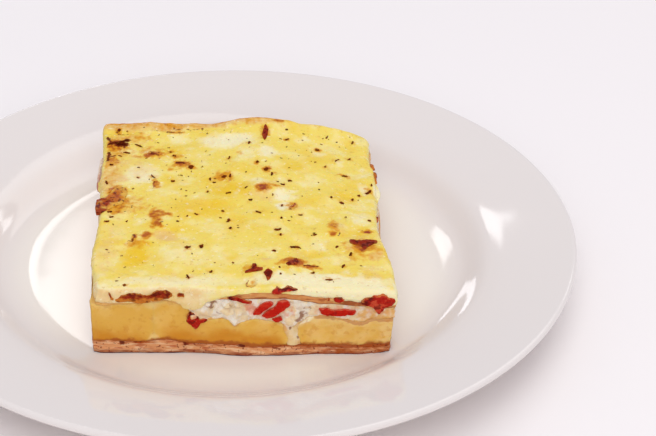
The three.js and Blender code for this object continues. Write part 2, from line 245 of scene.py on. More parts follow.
# The upper surface of each layer, and where the melted top ends on the front cut
BASE_TOP = Surface(
    front=(
        (-52, 12.0), (-44, 12.7), (-38, 12.1), (-31, 12.0), (-24, 12.6), (-14, 11.0), (-8, 10.8), (4, 11.3),
        (10, 10.3), (30, 10.6), (48, 10.5), (55, 11.6), (62, 12.2),
    ),
    back=((-56, 10.8), (-10, 11.6), (30, 10.6), (58, 11.2)),
    ripple=0.3,
    phase=0.4,
)
DOUGH_TOP = Surface(
    front=(
        (-52, 28.9), (-43, 29.2), (-31, 29.8), (-22.6, 30.2), (-16.5, 28.7), (-12.8, 23.8), (-8.6, 21.4),
        (-4.5, 22.6), (-0.4, 22.5), (2.8, 20.6), (5.6, 21.6), (10.9, 23.0), (15.4, 22.1), (20.3, 20.9),
        (24, 19.6), (27, 21.6), (31, 23.3), (36, 24.0), (42, 22.7), (49.8, 21.4), (56, 23.4), (62, 23.9),
    ),
    back=((-56, 25), (-24, 22.5), (4, 25), (22, 22), (58, 21.5)),
    ripple=0.5,
    phase=1.7,
)
CREAM_TOP = Surface(
    front=(
        (-52, 30.2), (-18, 30.6), (1, 31.7), (6, 31.9), (12, 32.0), (20, 32.0), (25, 31.4), (30, 30.6),
        (35, 29.4), (50, 28.8), (62, 28.3),
    ),
    back=((-56, 30.6), (-14, 31.5), (10, 34), (32, 31), (58, 26.8)),
    ripple=0.35,
    phase=2.9,
)
SHEET_TOP = Surface(
    front=(
        (-52, 32.4), (-18, 32.8), (0.5, 32.8), (5, 34.4), (10, 35.0), (15, 35.1), (20, 34.4), (25, 33.7),
        (35, 32.3), (45, 31.0), (50, 30.4), (62, 30.2),
    ),
    back=((-56, 33), (-14, 33.9), (10, 36.4), (32, 33.4), (58, 29.2)),
    ripple=0.35,
    phase=2.9,
)
CHEESE_TOP = Surface(
    front=(
        (-52, 35.8), (-20, 36.2), (4, 36.2), (20, 37.2), (34, 36), (62, 35.6),
    ),
    back=((-56, 35.4), (-24, 36.2), (10, 39), (32, 36.6), (58, 31.6)),
    ripple=0.45,
    phase=4.1,
)
CHEESE_FOOT = (
    (-52, 30.7), (-44.8, 30.4), (-36.6, 30.4), (-28, 30.8), (-22, 31.4), (-19.6, 30.9), (-17.5, 29.5),
    (-16, 27.7), (-12.5, 27.0), (-10, 27.7), (-7.2, 30.9), (0.5, 32.8), (5, 34.5), (10, 35.2), (15, 35.2),
    (20, 34.5), (25, 33.8), (35, 32.4), (45, 31.1), (50, 30.5), (55, 29.8), (62, 29.4),
)
# How far along x the melted top's sides stand in or out, from the front to the back
LEFT_DRAWN_IN = (
    (-66, 2.9), (-58, 2.0), (-48, 1.2), (-20, 1.5), (6, 1.9), (18, 0.8), (30, 0.4), (60, 0.2),
)
RIGHT_SPREAD = (
    (-66, 2.2), (-52, 1.3), (-44, 0.6), (-36, -0.8), (-28, -1.8), (-14, -1.9), (0, -1.3), (12, -1.1),
    (22, -0.5), (30, 0.2), (40, -0.8), (58, -0.7),
)


def side_shift(x: Array, y: Array) -> Array:
    """How far along x the melted top has drawn in at the left and spread, or drawn back, at the right."""
    left = through(LEFT_DRAWN_IN, y) * eased((-30.0 - x) / 22.0)
    return left + through(RIGHT_SPREAD, y) * eased((x - 36.0) / 22.0)


@dataclass(frozen=True)
class Blob:
    """A soft-edged patch in plan, as a place, its reach along x and y, and how strong it is."""

    x: float
    y: float
    along_x: float
    along_y: float
    strength: float

    def mask(self, x: Array, y: Array) -> Array:
        """The strength times a broad hill: e to the minus 0.8 times the scaled distance cubed."""
        away = ((x - self.x) / self.along_x) ** 2 + ((y - self.y) / self.along_y) ** 2
        return self.strength * np.exp(-0.8 * away**1.5)


def blobs(*rows: tuple[float, float, float, float, float]) -> tuple[Blob, ...]:
    """Soft patches from rows of x, y, reach along x, reach along y, and strength."""
    return tuple(Blob(*row) for row in rows)


@dataclass(frozen=True)
class Spot:
    """A soft patch on the front cut, as a place, its reach along x and z, and how strong it is."""

    x: float
    z: float
    wide: float
    high: float
    strength: float = 1.0

    def mask(self, x: Array, z: Array) -> Array:
        """The strength times a soft hill about the place."""
        return self.strength * bell((x - self.x) / self.wide, (z - self.z) / self.high)


@dataclass(frozen=True)
class Stroke:
    """A soft line drawn through a few places in plan."""

    places: Points
    width: float
    strength: float

    def mask(self, x: Array, y: Array) -> Array:
        """A hill across the line, by the distance to the nearest of its straight parts."""
        nearest = np.full_like(x, math.inf)
        for (ax, ay), (bx, by) in zip(self.places, self.places[1:]):
            reach = (bx - ax) ** 2 + (by - ay) ** 2
            along = np.clip(((x - ax) * (bx - ax) + (y - ay) * (by - ay)) / reach, 0, 1)
            away = np.hypot(x - ax - along * (bx - ax), y - ay - along * (by - ay))
            nearest = np.minimum(nearest, away)
        return self.strength * bell(nearest / self.width)


def patches(marks: Sequence[Blob | Stroke], x: Array, y: Array, ragged: float, seed: int) -> Array:
    """The strongest of several marks at each place, looked up at places shifted by chance for ragged edges.

    Args:
        marks: the soft patches and lines.
        x: places along x.
        y: places along y.
        ragged: how far the places are shifted, in mm.
        seed: which variation shifts them.

    Returns:
        A mask of 0 and up at each place.
    """
    moved_x = x + ragged * flat_cloudy(x, y, 2.8, 4, seed)
    moved_y = y + ragged * flat_cloudy(x, y, 2.8, 4, seed + 5)
    total = np.zeros_like(x)
    for mark in marks:
        total = np.maximum(total, mark.mask(moved_x, moved_y))
    return total


# Meshes


@dataclass
class Shell:
    """A closed surface in mm: points, four-sided and three-sided faces, and masks that its material reads."""

    points: Array
    quads: Array
    triangles: Array = field(default_factory=lambda: np.zeros((0, 3), dtype=np.int64))
    masks: dict[str, Array] = field(default_factory=dict)

    def volume(self) -> float:
        """The signed volume: a third of the sum of each face's middle dotted with its area vector."""
        three = np.concatenate([self.quads[:, :3], self.quads[:, [0, 2, 3]], self.triangles])
        a, b, c = (self.points[three[:, k]] for k in range(3))
        return float(np.einsum("ij,ij->i", a, np.cross(b, c)).sum() / 6.0)

    def facing_out(self) -> "Shell":
        """The same shell with its faces turned outwards."""
        if self.volume() < 0:
            self.quads = self.quads[:, ::-1]
            self.triangles = self.triangles[:, ::-1]
        return self

    def to_object(self, name: str) -> Piece:
        """Puts the shell into Blender, in metres.

        Args:
            name: the new object's name.

        Returns:
            The object, at the origin, with smooth faces and one attribute for each mask.
        """
        self.facing_out()
        mesh = bpy.data.meshes.new(name)
        corners = np.concatenate([self.quads.ravel(), self.triangles.ravel()])
        sizes = np.concatenate([np.full(len(self.quads), 4), np.full(len(self.triangles), 3)])
        mesh.vertices.add(len(self.points))
        mesh.vertices.foreach_set("co", (self.points * MM).astype(np.float32).ravel())
        mesh.loops.add(len(corners))
        mesh.loops.foreach_set("vertex_index", corners.astype(np.int32))
        mesh.polygons.add(len(sizes))
        mesh.polygons.foreach_set("loop_start", np.concatenate([[0], np.cumsum(sizes)[:-1]]).astype(np.int32))
        mesh.polygons.foreach_set("use_smooth", np.ones(len(sizes), dtype=bool))
        mesh.update(calc_edges=True)
        mesh.validate()
        for label, values in self.masks.items():
            attribute = mesh.attributes.new(label, "FLOAT", "POINT")
            attribute.data.foreach_set("value", values.astype(np.float32).ravel())
        made = bpy.data.objects.new(name, mesh)
        bpy.context.scene.collection.objects.link(made)
        return made


def joined(shells: Sequence[Shell]) -> Shell:
    """Several shells as one, each one's faces counted on from the last one's points."""
    shells = [shell.facing_out() for shell in shells]
    starts = np.concatenate([[0], np.cumsum([len(shell.points) for shell in shells])[:-1]])
    return Shell(
        np.concatenate([shell.points for shell in shells]),
        np.concatenate([shell.quads + start for shell, start in zip(shells, starts)]),
        np.concatenate([shell.triangles + start for shell, start in zip(shells, starts)]),
        {label: np.concatenate([shell.masks[label] for shell in shells]) for label in shells[0].masks},
    )


def lofted(rings: Array, masks: dict[str, Array]) -> Shell:
    """A closed shell through a stack of rings, drawn together to a point at each end.

    Args:
        rings: places by ring, by point round the ring, by axis.
        masks: values by ring and by point, which the end points take the mean of.

    Returns:
        The shell.
    """
    count, around = rings.shape[:2]
    number = np.arange(count * around).reshape(count, around)
    along = np.roll(number, -1, axis=1)
    quads = np.stack([number[:-1], along[:-1], along[1:], number[1:]], axis=-1).reshape(-1, 4)
    first, last = count * around, count * around + 1
    low = np.stack([np.full(around, first), along[0], number[0]], axis=-1)
    high = np.stack([np.full(around, last), number[-1], along[-1]], axis=-1)
    points = np.concatenate([rings.reshape(-1, 3), [rings[0].mean(axis=0), rings[-1].mean(axis=0)]])
    carried = {
        label: np.concatenate([values.ravel(), [values[0].mean(), values[-1].mean()]])
        for label, values in masks.items()
    }
    return Shell(points, quads, np.concatenate([low, high]), carried)


def run_round(columns: int, rows: int) -> tuple[Array, Array]:
    """The s and t of the points round a plan's edge, from the front left corner, to the right and on.

    Args:
        columns: steps along the front and the back.
        rows: steps along each side.

    Returns:
        The s values and the t values.
    """
    ahead_s, ahead_t = np.arange(columns) / columns, np.arange(rows) / rows
    s = np.concatenate([ahead_s, np.ones(rows), 1 - ahead_s, np.zeros(rows)])
    t = np.concatenate([np.zeros(columns), ahead_t, np.ones(columns), 1 - ahead_t])
    return s, t


CAP_STEPS = (0.94, 0.78, 0.58, 0.38, 0.2, 0.08, 0.02)


def wall_steps(count: int) -> Array:
    """Even steps from 0 to 1 with one more close to each end, which keeps the shading of an edge narrow."""
    return np.concatenate([[0.0, 0.012], np.linspace(0.04, 0.96, count), [0.988, 1.0]])


@dataclass
class Layer:
    """A layer of the slab: low and high surfaces, a side wall that stands in and out, and flat-lying caps."""

    node: str
    slot: str
    low: HeightMap
    high: HeightMap
    columns: int
    rows: int
    shares: Array

    def place(self, s: Array, t: Array, outset: Array | float) -> tuple[Array, Array]:
        """A place in the layer's own plan, which is the slab's."""
        return PLAN.at(s, t, outset)

    def outset(self, x: Array, y: Array, z: Array, share: Array) -> Array:
        """How far the wall stands out: share is 0 at the underside and 1 at the upper side."""
        raise NotImplementedError

    def masks(self, x: Array, y: Array, z: Array, share: Array) -> dict[str, Array]:
        """The masks that the layer's finish reads."""
        raise NotImplementedError

    def shell(self) -> Shell:
        """The layer's closed shell.

        The wall's rings stand between the low and the high surface by their shares, and the caps' rings draw
        in towards the middle along the low and the high surface.

        Returns:
            The shell, with its masks.
        """
        s, t = run_round(self.columns, self.rows)
        in_steps = np.array(CAP_STEPS)
        inward = np.concatenate([in_steps, np.zeros(len(self.shares)), in_steps[::-1]])[:, None]
        share = np.concatenate([np.zeros(len(in_steps)), self.shares, np.ones(len(in_steps))])[:, None]
        ring_s, ring_t = lerp(s[None], 0.5, inward), lerp(t[None], 0.5, inward)
        x, y = self.place(ring_s, ring_t, 0.0)
        share = np.broadcast_to(share, x.shape)
        z = lerp(self.low(x, y), self.high(x, y), share)
        outset = np.where(inward > 0, 0.0, self.outset(x, y, z, share))
        edge = np.where(inward > 0, outset[[len(in_steps)]] * 0.5, outset)
        x, y = self.place(ring_s, ring_t, edge)
        return lofted(np.stack([x, y, z], axis=-1), self.masks(x, y, z, share))

    def build(self, name: str, finish: "Finish") -> Piece:
        """Makes the layer's piece under the given name and dresses it in the finish."""
        return dressed(self.shell().to_object(name), finish, self.slot, self.node)


# Finishes


def linear(colour: tuple[int, int, int]) -> tuple[float, float, float, float]:
    """A colour of 0 to 255 as the light it gives back."""
    parts = [c / 255.0 for c in colour]
    return (*[c / 12.92 if c <= 0.04045 else ((c + 0.055) / 1.055) ** 2.4 for c in parts], 1.0)


def new_group(name: str, inputs: dict[str, float | tuple], output: tuple[str, str]) -> Tree:
    """A shader node group with named sockets.

    Args:
        name: the group's name.
        inputs: each input's name and usual value, a number or a vector.
        output: the output's name and socket type.

    Returns:
        The group's tree, with its input and output nodes in it.
    """
    tree = bpy.data.node_groups.new(name, "ShaderNodeTree")
    for label, usual in inputs.items():
        kind = "NodeSocketVector" if isinstance(usual, tuple) else "NodeSocketFloat"
        tree.interface.new_socket(label, in_out="INPUT", socket_type=kind).default_value = usual
    tree.interface.new_socket(output[0], in_out="OUTPUT", socket_type=output[1])
    tree.nodes.new("NodeGroupInput")
    tree.nodes.new("NodeGroupOutput")
    return tree


def math_node(tree: Tree, kind: str, first: object, second: object) -> Socket:
    """A Math node of the given kind over two sockets or numbers, as its output socket."""
    node = tree.nodes.new("ShaderNodeMath")
    node.operation = kind
    for slot_number, value in enumerate((first, second)):
        if isinstance(value, Socket):
            tree.links.new(value, node.inputs[slot_number])
        else:
            node.inputs[slot_number].default_value = value
    return node.outputs[0]


def noise_in(tree: Tree, scale: object, stretch: object, detail: float) -> Socket:
    """Noise on the object's own coordinates, stretched, as its Factor socket."""
    place = tree.nodes.new("ShaderNodeTexCoord")
    mapping = tree.nodes.new("ShaderNodeMapping")
    noise = tree.nodes.new("ShaderNodeTexNoise")
    noise.inputs["Detail"].default_value = detail
    tree.links.new(place.outputs["Object"], mapping.inputs["Vector"])
    tree.links.new(stretch, mapping.inputs["Scale"])
    tree.links.new(mapping.outputs[0], noise.inputs["Vector"])
    tree.links.new(scale, noise.inputs["Scale"])
    return noise.outputs["Fac"]


def ragged_mask_group() -> Tree:
    """A mask with its edge broken up: mask plus ragged noise, brought from low and high to 0 and 1."""
    usual = {
        "Mask": 0.0, "Ragged": 0.5, "Scale": 900.0, "Stretch": (1.0, 1.0, 1.0),
        "Low": 0.4, "High": 0.6, "Strength": 1.0,
    }
    tree = new_group("ragged_mask", usual, ("Mask", "NodeSocketFloat"))
    given = next(node for node in tree.nodes if node.type == "GROUP_INPUT").outputs
    result = next(node for node in tree.nodes if node.type == "GROUP_OUTPUT")
    noise = noise_in(tree, given["Scale"], given["Stretch"], 4.0)
    spread = math_node(tree, "MULTIPLY", math_node(tree, "SUBTRACT", noise, 0.5), 2.4)
    shift = math_node(tree, "MULTIPLY", spread, given["Ragged"])
    ranged = tree.nodes.new("ShaderNodeMapRange")
    ranged.interpolation_type = "SMOOTHSTEP"
    tree.links.new(math_node(tree, "ADD", shift, given["Mask"]), ranged.inputs["Value"])
    tree.links.new(given["Low"], ranged.inputs["From Min"])
    tree.links.new(given["High"], ranged.inputs["From Max"])
    tree.links.new(math_node(tree, "MULTIPLY", ranged.outputs["Result"], given["Strength"]), result.inputs[0])
    return tree


def grain_group() -> Tree:
    """A bumpy normal from two noises, whose heights are given in mm."""
    usual = {
        "Scale": 700.0, "Height": 0.1, "Fine Scale": 2600.0, "Fine Height": 0.03, "Stretch": (1.0, 1.0, 1.0),
    }
    tree = new_group("grain", usual, ("Normal", "NodeSocketVector"))
    given = next(node for node in tree.nodes if node.type == "GROUP_INPUT").outputs
    result = next(node for node in tree.nodes if node.type == "GROUP_OUTPUT")
    coarse, fine = (
        math_node(tree, "MULTIPLY", noise_in(tree, given[scale], given["Stretch"], detail), given[height])
        for scale, detail, height in (("Scale", 3.0, "Height"), ("Fine Scale", 2.0, "Fine Height"))
    )
    bump = tree.nodes.new("ShaderNodeBump")
    bump.inputs["Distance"].default_value = MM
    tree.links.new(math_node(tree, "ADD", coarse, fine), bump.inputs["Height"])
    tree.links.new(bump.outputs[0], result.inputs[0])
    return tree


RAGGED_MASK = ragged_mask_group()
GRAIN = grain_group()


@dataclass(frozen=True)
class Tint:
    """One colour laid over those before it. With no mask name the noise alone says where."""

    colour: tuple[int, int, int]
    mask: str = ""
    low: float = 0.45
    high: float = 0.65
    ragged: float = 0.5
    scale: float = 700.0
    stretch: tuple[float, float, float] = (1.0, 1.0, 1.0)
    strength: float = 1.0


@dataclass(frozen=True)
class Finish:
    """A surface's look: a colour with tints over it, a range of roughness, grain, and light that seeps in."""

    name: str
    colour: tuple[int, int, int]
    tints: tuple[Tint, ...] = ()
    roughness: tuple[float, float] = (0.35, 0.6)
    grain: tuple[float, float, float, float] = (700.0, 0.1, 2600.0, 0.03)
    stretch: tuple[float, float, float] = (1.0, 1.0, 1.0)
    seep: float = 0.0
    seep_mm: tuple[float, float, float] = (2.0, 1.0, 0.5)
    sheen: float = 0.5
    coat: float = 0.0
    dull: str = ""

    def masked(self, tree: Tree, tint: Tint) -> Socket:
        """The socket that says where a tint lies, from its vertex mask and noise."""
        group = tree.nodes.new("ShaderNodeGroup")
        group.node_tree = RAGGED_MASK
        ragged = tint.ragged if tint.mask else 1.0
        for label, value in (
            ("Ragged", ragged), ("Scale", tint.scale), ("Stretch", tint.stretch), ("Low", tint.low),
            ("High", tint.high), ("Strength", tint.strength), ("Mask", 0.0 if tint.mask else 0.5),
        ):
            group.inputs[label].default_value = value
        if tint.mask:
            attribute = tree.nodes.new("ShaderNodeAttribute")
            attribute.attribute_name = tint.mask
            tree.links.new(attribute.outputs["Fac"], group.inputs["Mask"])
        return group.outputs["Mask"]

    def lay_colour(self, tree: Tree, shader: bpy.types.Node) -> None:
        """Mixes the tints in order over the colour, into Base Color."""
        shader.inputs["Base Color"].default_value = linear(self.colour)
        colour: Socket | None = None
        for tint in self.tints:
            mix = tree.nodes.new("ShaderNodeMix")
            mix.data_type = "RGBA"
            share, under, over = mix.inputs[0], mix.inputs[6], mix.inputs[7]
            under.default_value, over.default_value = linear(self.colour), linear(tint.colour)
            if colour is not None:
                tree.links.new(colour, under)
            tree.links.new(self.masked(tree, tint), share)
            colour = mix.outputs[2]
        if colour is not None:
            tree.links.new(colour, shader.inputs["Base Color"])

    def lay_surface(self, tree: Tree, shader: bpy.types.Node) -> None:
        """Brings a noise into Roughness within its range, and the grain's normal into Normal."""
        rough = tree.nodes.new("ShaderNodeMapRange")
        wet = self.masked(tree, Tint((0, 0, 0), scale=self.grain[0] * 0.6, low=0.35, high=0.65))
        tree.links.new(wet, rough.inputs["Value"])
        rough.inputs["To Min"].default_value, rough.inputs["To Max"].default_value = self.roughness
        tree.links.new(rough.outputs["Result"], shader.inputs["Roughness"])
        grain = tree.nodes.new("ShaderNodeGroup")
        grain.node_tree = GRAIN
        for label, value in zip(("Scale", "Height", "Fine Scale", "Fine Height"), self.grain):
            grain.inputs[label].default_value = value
        grain.inputs["Stretch"].default_value = self.stretch
        tree.links.new(grain.outputs["Normal"], shader.inputs["Normal"])

    def build(self) -> bpy.types.Material:
        """Makes the material.

        Returns:
            The material. Every steady value is set on the shader's own socket, and a dull mask takes the
            sheen away where it is 1.
        """
        material = bpy.data.materials.new(self.name)
        material.use_nodes = True
        tree = material.node_tree
        shader = tree.nodes["Principled BSDF"]
        self.lay_colour(tree, shader)
        self.lay_surface(tree, shader)
        steady = {
            "Subsurface Weight": self.seep,
            "Subsurface Radius": self.seep_mm,
            "Subsurface Scale": MM,
            "Specular IOR Level": self.sheen,
            "Coat Weight": self.coat,
            "Coat Roughness": 0.12,
        }
        for label, value in steady.items():
            shader.inputs[label].default_value = value
        if self.dull:
            burnt = tree.nodes.new("ShaderNodeAttribute")
            burnt.attribute_name = self.dull
            less = math_node(tree, "MULTIPLY", burnt.outputs["Fac"], -self.sheen)
            tree.links.new(math_node(tree, "ADD", less, self.sheen), shader.inputs["Specular IOR Level"])
        return material


GLAZE = Finish(
    "white_glaze_finish",
    (231, 223, 219),
    # The first tint is painted light that whitens the glaze on the floor and the lower wall; the second marks
    # the bare foot ring
    (Tint((240, 234, 226), "well_painted_light", 0.0, 1.0, 0.1, 60.0), Tint((200, 190, 174), "bare", 0.4, 0.6, 0.3, 300.0)),
    roughness=(0.05, 0.08), grain=(16.0, 0.05, 60.0, 0.01),
)
CRUST = Finish(
    "baked_base_finish",
    (220, 154, 104),
    (
        Tint((236, 196, 154), low=0.5, high=0.7, scale=480.0, stretch=(0.35, 0.35, 2.4), strength=0.7),
        Tint((180, 84, 44), low=0.62, high=0.78, scale=420.0, stretch=(0.4, 0.4, 2.2), strength=0.7),
        # Painted shade: the lower half is darker
        Tint((150, 80, 54), "under", 0.25, 0.9, 0.6, 560.0, (0.4, 0.4, 1.6), 0.8),
        Tint((158, 68, 12), "lean", 0.3, 0.9, 0.6, 560.0, (0.5, 0.5, 1.4), 0.9),
        Tint((96, 22, 12), "dark", 0.4, 0.8, 0.7, 600.0, (0.5, 0.5, 1.0), 0.9),
        Tint((120, 40, 22), low=0.74, high=0.86, scale=900.0, strength=0.8),
        # Painted shadow: a dark line along the foot
        Tint((98, 28, 20), "foot", 0.35, 0.8, 0.45, 500.0, (0.4, 0.4, 1.0), 0.95),
    ),
    roughness=(0.4, 0.7), grain=(520.0, 0.55, 1900.0, 0.18), stretch=(0.5, 0.5, 1.6), seep=0.07,
    seep_mm=(1.2, 0.5, 0.3), sheen=0.07,
)
DOUGH = Finish(
    "golden_dough_finish",
    (228, 178, 80),
    (
        Tint((236, 194, 106), low=0.45, high=0.8, scale=120.0, strength=0.5),
        Tint((208, 136, 32), "low", 0.3, 1.0, 0.25, 160.0, strength=0.9),
        Tint((238, 204, 134), "pale", 0.25, 1.0, 0.3, 240.0, strength=0.8),
        # A near-white flap on the right slab's nose, partly a painted highlight
        Tint((250, 236, 200), "nose", 0.2, 0.85, 0.25, 300.0, strength=0.85),
        Tint((204, 146, 92), "skin", 0.35, 0.8, 0.45, 420.0, (0.5, 0.5, 1.5), 0.85),
        Tint((206, 134, 48), low=0.66, high=0.85, scale=420.0, strength=0.3),
        Tint((166, 84, 34), "stain", 0.15, 1.0, 0.5, 420.0, strength=0.9),
    ),
    roughness=(0.42, 0.6), grain=(420.0, 0.2, 1700.0, 0.06), seep=0.3, seep_mm=(2.6, 1.4, 0.4), sheen=0.12,
)
CREAM = Finish(
    "lumpy_cream_finish",
    (238, 227, 208),
    (
        Tint((232, 204, 152), low=0.42, high=0.66, scale=230.0, strength=0.8),
        Tint((214, 192, 162), low=0.55, high=0.78, scale=420.0, strength=0.55),
        Tint((224, 166, 78), "tan", 0.25, 0.9, 0.5, 420.0, strength=0.92),
        Tint((232, 204, 146), "gap", 0.3, 0.8, 0.35, 420.0, strength=0.7),
        Tint((224, 142, 108), "rosy", 0.25, 0.95, 0.6, 520.0, strength=0.8),
        # Brown bits and painted shade in the hollows and the pits between the curds
        Tint((140, 86, 50), "hollow", 0.3, 0.85, 0.55, 700.0, strength=0.85),
    ),
    roughness=(0.12, 0.35), grain=(620.0, 0.3, 2100.0, 0.05), seep=0.3, seep_mm=(1.6, 1.2, 0.8), sheen=0.3,
    coat=0.15,
)
SHEET = Finish(
    "baked_sheet_finish",
    (208, 138, 80),
    (
        Tint((216, 158, 98), low=0.45, high=0.7, scale=420.0, stretch=(0.35, 0.35, 1.8), strength=0.75),
        Tint((162, 80, 40), low=0.58, high=0.78, scale=420.0, stretch=(0.35, 0.35, 2.0), strength=0.75),
        Tint((140, 60, 28), "foot", 0.4, 0.9, 0.7, 480.0, strength=0.75),
        Tint((226, 184, 112), "melt", 0.4, 1.0, 0.6, 420.0, strength=0.65),
    ),
    roughness=(0.35, 0.6), grain=(620.0, 0.45, 2100.0, 0.1), stretch=(0.5, 0.5, 1.6), seep=0.1,
    seep_mm=(1.4, 0.5, 0.3), sheen=0.08,
)
CHEESE = Finish(
    "browned_cheese_finish",
    (239, 213, 99),
    (
        Tint((245, 229, 156), low=0.45, high=0.8, scale=110.0, strength=0.6),
        Tint((236, 193, 24), "butter", 0.25, 1.0, 0.14, 150.0, strength=0.88),
        Tint((243, 232, 188), "curd", 0.2, 0.95, 0.2, 220.0, strength=0.92),
        Tint((231, 189, 121), "beige", 0.25, 1.0, 0.35, 300.0, strength=0.8),
        # Near-white specks: painted highlights standing for small glints on the cheese
        Tint((254, 246, 222), low=0.81, high=0.9, scale=680.0, stretch=(0.8, 1.0, 1.0), strength=0.35),
        Tint((218, 146, 0), "toast", 0.08, 0.65, 0.5, 440.0, strength=0.92),
        Tint((174, 80, 0), "toast", 0.45, 0.98, 0.6, 520.0, strength=0.92),
        Tint((148, 48, 18), "lean", 0.35, 0.9, 0.7, 620.0, strength=0.92),
        Tint((112, 36, 12), "char", 0.25, 0.7, 0.7, 800.0, strength=0.95),
        Tint((62, 14, 6), "char", 0.7, 1.1, 0.5, 900.0, strength=0.9),
        Tint((186, 132, 44), low=0.86, high=0.93, scale=620.0, strength=0.3),
    ),
    roughness=(0.22, 0.48), grain=(420.0, 0.2, 1500.0, 0.05), seep=0.2, seep_mm=(2.0, 1.2, 0.4), sheen=0.13,
    dull="char",
)
RED_HAM = Finish(
    "bright_prosciutto_finish",
    (190, 25, 9),
    (
        Tint((206, 58, 30), low=0.52, high=0.8, scale=420.0, stretch=(0.6, 1.0, 1.4), strength=0.4),
        Tint((146, 12, 10), low=0.62, high=0.85, scale=520.0, strength=0.6),
        Tint((226, 134, 100), "rim", 0.6, 1.0, 0.6, 700.0, strength=0.5),
    ),
    roughness=(0.2, 0.42), grain=(700.0, 0.25, 2400.0, 0.06), seep=0.12, seep_mm=(2.0, 0.4, 0.2), sheen=0.085,
)
CRIMSON_HAM = Finish(
    "dark_red_prosciutto_finish",
    (174, 28, 14),
    (
        Tint((206, 82, 50), low=0.54, high=0.74, scale=420.0, strength=0.75),
        Tint((104, 8, 5), low=0.55, high=0.76, scale=480.0, strength=0.7),
        Tint((84, 8, 5), "dark", 0.5, 0.95, 0.7, 480.0, strength=0.85),
        Tint((214, 132, 70), "rim", 0.6, 1.05, 0.9, 560.0, strength=0.65),
    ),
    roughness=(0.25, 0.5), grain=(700.0, 0.35, 2400.0, 0.1), seep=0.12, seep_mm=(1.6, 0.3, 0.2), sheen=0.09,
)
CRISP_HAM = Finish(
    "crisped_prosciutto_finish",
    (152, 44, 14),
    (
        Tint((204, 124, 42), "heel", 0.25, 0.8, 0.7, 420.0, strength=0.92),
        Tint((190, 104, 40), low=0.62, high=0.8, scale=620.0, strength=0.6),
        Tint((100, 16, 6), low=0.6, high=0.8, scale=430.0, strength=0.65),
        Tint((88, 12, 5), "dark", 0.55, 1.05, 0.8, 420.0, strength=0.72),
        Tint((196, 118, 40), "rim", 0.5, 1.05, 0.8, 600.0, strength=0.7),
    ),
    roughness=(0.28, 0.55), grain=(800.0, 0.45, 2500.0, 0.12), seep=0.08, seep_mm=(1.2, 0.3, 0.2), sheen=0.08,
)
BURNT_HAM = Finish(
    "burnt_prosciutto_finish",
    (140, 36, 10),
    (
        Tint((180, 82, 30), low=0.55, high=0.75, scale=420.0, strength=0.6),
        Tint((84, 12, 4), low=0.5, high=0.7, scale=460.0, strength=0.8),
        Tint((178, 96, 34), "rim", 0.6, 1.1, 0.9, 520.0, strength=0.55),
    ),
    roughness=(0.35, 0.6), grain=(800.0, 0.4, 2500.0, 0.12), seep=0.06, seep_mm=(1.2, 0.3, 0.2), sheen=0.06,
)
GLOWING_HAM = Finish(
    "tan_prosciutto_finish",
    (190, 104, 30),
    (
        Tint((160, 60, 20), low=0.45, high=0.65, scale=300.0, strength=0.85),
        Tint((228, 184, 84), "edge", 0.3, 1.0, 1.0, 300.0, strength=0.95),
        Tint((218, 146, 20), "edge", 0.3, 0.7, 1.0, 420.0, strength=0.4),
        Tint((146, 42, 20), "dark", 0.55, 1.05, 0.9, 340.0, strength=0.92),
        Tint((92, 18, 8), low=0.68, high=0.82, scale=460.0, strength=0.8),
    ),
    roughness=(0.3, 0.52), grain=(520.0, 0.35, 1900.0, 0.1), seep=0.12, seep_mm=(2.0, 0.7, 0.3), sheen=0.09,
)
PALE_HAM = Finish(
    "pale_prosciutto_finish",
    (220, 194, 168),
    (
        Tint((230, 212, 188), low=0.5, high=0.75, scale=420.0, strength=0.7),
        Tint((150, 98, 88), "rim", 0.85, 1.05, 0.3, 600.0, strength=0.6),
        Tint((172, 88, 60), "heel", 0.5, 1.0, 0.6, 420.0, strength=0.8),
    ),
    roughness=(0.3, 0.55), grain=(700.0, 0.3, 2400.0, 0.08), seep=0.25, seep_mm=(2.0, 1.0, 0.6), sheen=0.2,
)
HERB = Finish(
    "dried_herb_finish",
    (112, 46, 14),
    (
        Tint((158, 100, 36), "shade", 0.45, 0.8, 0.4, 900.0, strength=0.9),
        Tint((160, 134, 62), "shade", 0.7, 0.95, 0.2, 900.0, strength=0.85),
        Tint((62, 16, 8), low=0.52, high=0.76, scale=700.0, strength=0.8),
    ),
    roughness=(0.6, 0.85), grain=(1200.0, 0.15, 3000.0, 0.04), sheen=0.0,
)


# The plate


@dataclass(frozen=True)
class PlateTop:
    """The plate's upper side: a floor that dips in the middle, a wall with a bend, and a sloping flange."""

    middle: float = 4.9
    floor_rise: float = 2.2
    floor_radius: float = 110.0
    wall_rise: float = 5.2
    wall_start: float = 80.0
    wall_run: float = 32.0
    bend_rise: float = 3.4
    bend_start: float = 93.0
    bend_run: float = 12.0
    flange_rise: float = 3.2
    flange_start: float = 98.0
    flange_run: float = 16.0

    def height(self, radius: Array) -> Array:
        """The height at a radius: the floor's, the wall's and the flange's rises added up.

        The flange's slope starts softly: with t from 0 at its start, its rise is t cubed less half of t to
        the fourth power up to t = 1, and t less a half from there on.
        """
        floor = self.middle + self.floor_rise * eased(radius / self.floor_radius)
        wall = self.wall_rise * eased((radius - self.wall_start) / self.wall_run)
        bend = self.bend_rise * eased((radius - self.bend_start) / self.bend_run)
        run = np.maximum((radius - self.flange_start) / self.flange_run, 0.0)
        flange = self.flange_rise * np.where(run < 1.0, run**3 - 0.5 * run**4, run - 0.5)
        return floor + (wall + bend) + flange


PLATE_TOP = PlateTop()


